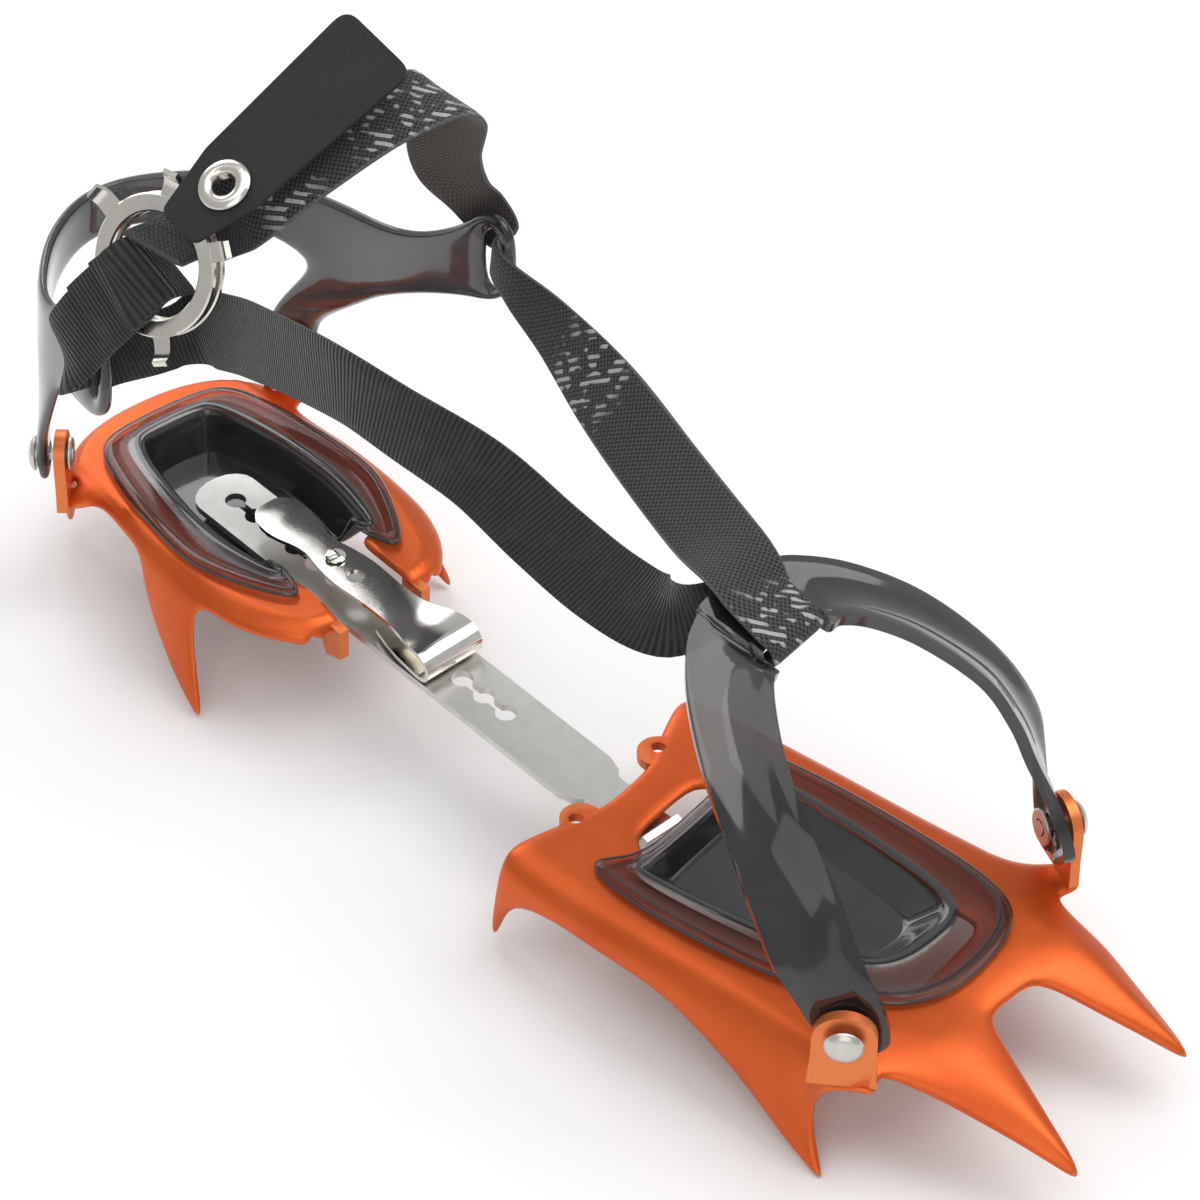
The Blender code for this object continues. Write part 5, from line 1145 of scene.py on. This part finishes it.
SLOT_TO_RINGS = [(by_ring(-1.4, -6.5), RING_ACROSS, 18.6), (by_ring(-1.0, -2.5), RING_ACROSS, 18.6),
                 (by_ring(-1.2, 2.0), RING_ACROSS, 18.6), (by_ring(-3.0, 4.6), RING_ACROSS, 18.8),
                 (by_ring(-7.4, 5.4), RING_ACROSS, 19.0),
                 ((-103.9, -48.8, 136.4), (0.87, -0.02, -0.48), 19.2),
                 ((-109.0, -53.8, 128.4), (0.7, -0.15, -0.7), 19.2),
                 ((-113.2, -57.6, 120.4), (0.5, -0.18, -0.84), 18.6),
                 ((-115.6, -57.0, 114.8), (0.2, -0.05, -0.98), 17.8),
                 ((-115.4, -52.2, 112.4), (0.0, 0.0, -1.0), 17.0),
                 ((-115.0, -48.0, 112.0), (0.0, 0.0, -1.0), 17.0)]


def strap_stations(stations, per=10):
    """The smooth run of a strap: centre, across, out and width at each small step, with the length so far."""
    mids = catmull([s[0] for s in stations], per)
    across = catmull([s[1] for s in stations], per)
    widths = smooth_run([s[2] if len(s) > 2 else WEB_WIDTH for s in stations], per)
    run = []
    travelled = 0.0
    for i, (mid, (a, out), width) in enumerate(zip(mids, axes_along(mids, across), widths)):
        if i:
            travelled += (mid - mids[i - 1]).length
        run.append((mid, a, out, width, travelled))
    return run


def webbing(name, stations, mat, caps=True, turned_over=False):
    """A strap with rounded woven edges. Its UVs are millimetres: X across (the back BACK_U on), Y along."""
    half_t = WEB_THICK * 0.5
    steps = [-1.0 + 0.2 * k for k in range(11)]
    section = [(u, 1.0, 0.0) for u in steps] + [(1.0, 0.0, 0.0)]
    section += [(-u, -1.0, BACK_U) for u in steps] + [(-1.0, 0.0, BACK_U)]
    rings, marks = [], []
    for mid, a, out, width, travelled in stations:
        h = width * 0.5
        ring = []
        for u, side, back in section:
            edge = min(1.0, (1.0 - abs(u)) * h / 0.7) if side else 1.0
            lift = half_t * side * (0.55 + 0.45 * edge)
            reach = h * u * (1.012 if side == 0.0 else 1.0)
            ring.append(mid + a * reach + out * lift)
            marks.append((reach + (BACK_U - back if turned_over else back), travelled))
        rings.append(ring)
    n = len(section)
    faces = wrapped(rings)
    if caps:
        faces += [tuple(range(n)), tuple((len(rings) - 1) * n + k for k in range(n))]
    ob = mesh_from(name, [p for ring in rings for p in ring], faces, WORLD, mat)
    uv = ob.data.uv_layers.new(name="strap")
    for loop in ob.data.loops:
        uv.data[loop.index].uv = marks[loop.vertex_index]
    return smooth(ob, 60.0)


def part_of(stations, low, high):
    """The stretch of a strap between two places along its length, ends included."""
    return [s for s in stations if low <= s[4] <= high]


def nearest(stations, x):
    """How far along the strap it passes the given X."""
    return min(stations, key=lambda s: abs(s[0].x - x))[4]


def nearest_to(stations, place):
    """How far along the strap it passes a place in space."""
    return min(stations, key=lambda s: (s[0] - Vector(place)).length)[4]


# ---------------------------------------------------------------- pieces on their bodies
def piece(ob, name, body, node, slot_name):
    """Moves a finished piece into the frame, names it, and lets it ride in place of a CAD node."""
    ob.data.transform(Matrix.Translation(-ORIGIN * MM))
    ob.name = name
    if body is not None:
        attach(ob, body)
    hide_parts(node)


def in_frame(p):
    """A place in this script's millimetres as a point of the frame, in metres."""
    return (Vector(p) - ORIGIN) * MM


SKINS = [
    (front_frame, "front_frame", "front_section", "anodised_aluminium_front"),
    (front_plate_ob, "front_antiball_plate", "front_section", "smoky_plastic_front"),
    (linking_bar, "linking_bar", "front_section", "tumbled_stainless_steel"),
    (heel_frame, "heel_frame", "heel_section", "anodised_aluminium_heel"),
    (heel_plate, "heel_antiball_plate", "heel_section", "smoky_plastic_heel"),
    (adjuster_lever, "adjuster_lever", "adjuster", "polished_spring_steel"),
    (adjuster_stud, "adjuster_stud", "adjuster", "polished_spring_steel"),
    (toe_bail, "toe_bail", "bail", "smoky_plastic_bail"),
    (heel_cradle, "heel_cradle", "cradle", "smoky_plastic_cradle"),
    (plain_ring, "plain_ring", "rings", "nickel_plated_ring_steel"),
    (tabbed_ring, "tabbed_ring", "rings", "nickel_plated_ring_steel"),
]
for ob, node, body, slot_name in SKINS:
    piece(ob, node + "_skin", body, node, slot_name)
for node, (rivet, washer) in pivots.items():
    body = "front_section" if node.startswith("toe") else "heel_section"
    piece(rivet, node + "_rivet_skin", body, node + "_rivet", "satin_rivet_steel")
    piece(washer, node + "_washer_skin", body, node + "_washer", "satin_rivet_steel")

lower = strap_stations(SLOT_TO_BAIL)
upper = strap_stations(BAIL_TO_RINGS)
ring_run = strap_stations(SLOT_TO_RINGS)

STRAP_END = 1e6              # further along than any strap reaches


def strap_pieces(run, node, mat, cuts, turned_over=False):
    """A strap in one stretch for each joint it crosses. A cut gives the stretch's name, where it ends,
    whether its ends are closed, the two bodies, and the X where a blend between them would start and stop;
    the two bodies and the X are not used, and no blend is made."""
    low = 0.0
    for name, high, caps, a, b, start, end in cuts:
        ob = webbing(name, part_of(run, low, high), mat, caps, turned_over)
        piece(ob, name, None, node, "black_webbing")
        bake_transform(ob)
        low = high


# the strap from the near slot to the bail
cut_a = nearest(lower, -48.0)
cut_b = nearest(lower, 0.0)
strap_pieces(lower, "strap_lower", MAT["ribbed_webbing"], [
    ("lower_strap_heel", cut_a, True, "cradle", "heel_section", -80, -52),
    ("lower_strap_middle", cut_b, False, "heel_section", "front_section", -44, -6),
    ("lower_strap_toe", STRAP_END, True, "front_section", "bail", 4, 34)])

# the strap from the bail through the far slot and over the ankle to the rings
to_slot = upper[60:126]      # the stretch over the foot; the strap passes the same X again at the ankle
cut_c = nearest(to_slot, 12.0)
cut_d = nearest(to_slot, -40.0)
cut_e = nearest(to_slot, -73.0)
crest = max(upper, key=lambda s: s[0].z)[4]
# the spans of the woven webbing's pale painted highlights: near the bail, over the foot, and at and past the
# crest over the ankle
woven = woven_webbing("woven_webbing", ((4.0, 22.0), (nearest(to_slot, -14.0), nearest(to_slot, -36.0)),
                                        (crest - 4.0, crest + 22.0), (crest + 34.0, crest + 48.0)))
strap_pieces(upper, "strap_upper", woven, [
    ("upper_strap_toe", cut_c, True, "bail", "front_section", 38, 16),
    ("upper_strap_middle", cut_d, False, "front_section", "heel_section", 8, -36),
    ("upper_strap_heel", cut_e, False, "heel_section", "cradle", -44, -66)], turned_over=True)
cut_f = nearest_to(upper, (-81.0, -14.0, 166.4))
ob = webbing("ankle_strap", part_of(upper, cut_e, cut_f), woven)
piece(ob, "ankle_strap", "cradle", "strap_upper", "black_webbing")
ob = webbing("ankle_strap_end", part_of(upper, cut_f, STRAP_END), woven)
piece(ob, "ankle_strap_end", None, "strap_upper", "black_webbing")
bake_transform(ob)
ob = webbing("ring_strap_web", ring_run, MAT["ribbed_webbing"])
piece(ob, "ring_strap_web", "cradle", "ring_strap", "black_webbing")
# the strap is folded on itself on its way to the rings: each fold lies on the last one and is shorter
FOLD_GAP = 0.25
FOLD_RISE = 6.0              # length over which a fold lifts off the one below
FOLD_WIDER = 0.3
bend = nearest_to(ring_run, by_ring(-1.2, 2.0))
for k, tip in ((1, (-108.4, -53.2, 129.3)), (2, (-103.9, -48.8, 136.4))):
    fold = []
    for mid, a, out, width, travelled in part_of(ring_run, bend, nearest_to(ring_run, tip)):
        lift = k * (WEB_THICK + FOLD_GAP) * min(1.0, 0.15 + (travelled - bend) / FOLD_RISE)
        fold.append((mid + out * lift, a, out, width + FOLD_WIDER * k, travelled))
    ob = webbing("ring_strap_fold_%d" % k, fold, MAT["ribbed_webbing"])
    piece(ob, "ring_strap_fold_%d" % k, "cradle", "ring_strap", "black_webbing")

# ---------------------------------------------------------------- retainer flap and its eyelet
FLAP_TIP = Vector((-89.2, -41.0, 160.2))
FLAP_TOP = Vector((-79.4, 14.4, 193.0))
flap_run = (FLAP_TOP - FLAP_TIP).normalized()
FLAP_ACROSS = Vector((0.99, 0.0, -0.15))
EYELET_AT = (0.6, 15.0)      # across the flap, and along it from its tapered end
flap_w = (FLAP_ACROSS - flap_run * flap_run.dot(FLAP_ACROSS)).normalized()
flap_n = flap_w.cross(flap_run).normalized()
flap_len = (FLAP_TOP - FLAP_TIP).length
flap_place = Matrix.Translation(FLAP_TIP) @ Matrix((flap_w, flap_run, flap_n)).transposed().to_4x4()
flap_corners = [(-6.6, 0.0), (6.6, 0.0), (11.0, 18.0), (13.0, flap_len), (-13.0, flap_len), (-11.0, 18.0)]
flap_lines = [rounded(flap_corners, [3.0, 3.0, 8.0, 4.5, 4.5, 8.0], 6), arc(*EYELET_AT, 3.7, 32, 32, 360)]
retainer_flap = flat_shape("retainer_flap", flap_lines, -0.6, 0.6, flap_place, MAT["coated_sheet"], 0.25)
smooth(retainer_flap, 30.0)
eyelet_place = flap_place @ Matrix.Translation((*EYELET_AT, 0.0))
eye_section = [(2.9, -1.5), (3.3, -1.8), (4.4, -1.95), (5.6, -1.75), (6.4, -1.2), (6.4, -0.95),
               (3.35, -0.95), (3.35, 0.95), (6.4, 0.95), (6.6, 1.2), (6.2, 1.7), (5.4, 2.05), (4.4, 2.15),
               (3.6, 1.95), (3.1, 1.5), (2.9, 0.8)]
flap_eyelet = smooth(swept("flap_eyelet", eye_section, eyelet_place, ring_steel, 64), 40.0)
piece(retainer_flap, "retainer_flap_skin", "flap", "retainer_flap", "black_coated_sheet")
piece(flap_eyelet, "flap_eyelet_skin", "flap", "flap_eyelet", "nickel_plated_ring_steel")

# ---------------------------------------------------------------- studio
CAMERA_AT = Vector((526.1, -498.6, 706.5))
CAMERA_FROM = -44.21         # azimuth the camera looks from, in degrees
CAMERA_UP = 40.93            # how far above the object it stands, in degrees
CAMERA_ROLL = 1.16
LENS = 119.04
FLOOR_SIZE = 3.0
FLOOR_DROP = 0.0005          # metres the floor lies below the points
AIM = Vector((0.0, 0.0, 0.06))


def studio():
    scene = bpy.context.scene
    rise, turn = math.radians(CAMERA_UP), math.radians(CAMERA_FROM)
    toward = Vector((math.cos(rise) * math.cos(turn), math.cos(rise) * math.sin(turn), math.sin(rise)))
    right = (-toward).cross(Vector((0, 0, 1))).normalized()
    up = right.cross(-toward)
    c, s = math.cos(math.radians(CAMERA_ROLL)), math.sin(math.radians(CAMERA_ROLL))
    axes = Matrix((right * c + up * s, up * c - right * s, toward)).transposed().to_4x4()
    axes.translation = in_frame(CAMERA_AT)
    data = bpy.data.cameras.new("camera")
    data.lens = LENS
    data.sensor_width = 36.0
    data.clip_start = 0.05
    data.clip_end = 20.0
    camera = add_object("camera", data, None, scene.collection)
    camera.matrix_world = axes
    scene.camera = camera

    mesh = bpy.data.meshes.new("floor")
    bm = bmesh.new()
    bmesh.ops.create_grid(bm, x_segments=8, y_segments=8, size=FLOOR_SIZE)
    bm.to_mesh(mesh)
    bm.free()
    floor = add_object("floor", mesh, pale_floor("pale_floor"), scene.collection)
    floor.location.z = -FLOOR_DROP

    for name, place, size, power, tone in (
            ("key", (0.35, 0.55, 1.15), 0.9, 7.0, (1.0, 0.99, 0.97)),
            ("fill", (0.9, -0.9, 0.8), 1.1, 4.0, (0.98, 0.99, 1.0)),
            ("rim", (-1.0, 0.25, 0.7), 0.8, 4.5, (1.0, 1.0, 1.0)),
            ("top", (0.0, -0.2, 1.4), 1.2, 5.0, (1.0, 1.0, 1.0))):
        lamp = bpy.data.lights.new(name, "AREA")
        lamp.shape = "SQUARE"
        lamp.size = size
        lamp.energy = power
        lamp.color = tone
        holder = add_object(name, lamp, None, scene.collection)
        holder.location = place
        holder.rotation_euler = (AIM - Vector(place)).to_track_quat("-Z", "Y").to_euler()
    world = bpy.data.worlds.new("studio")
    world.use_nodes = True
    back = world.node_tree.nodes["Background"]
    back.inputs["Color"].default_value = (1.0, 1.0, 1.0, 1.0)
    back.inputs["Strength"].default_value = 0.55
    scene.world = world
    scene.view_settings.view_transform = "Standard"


studio()
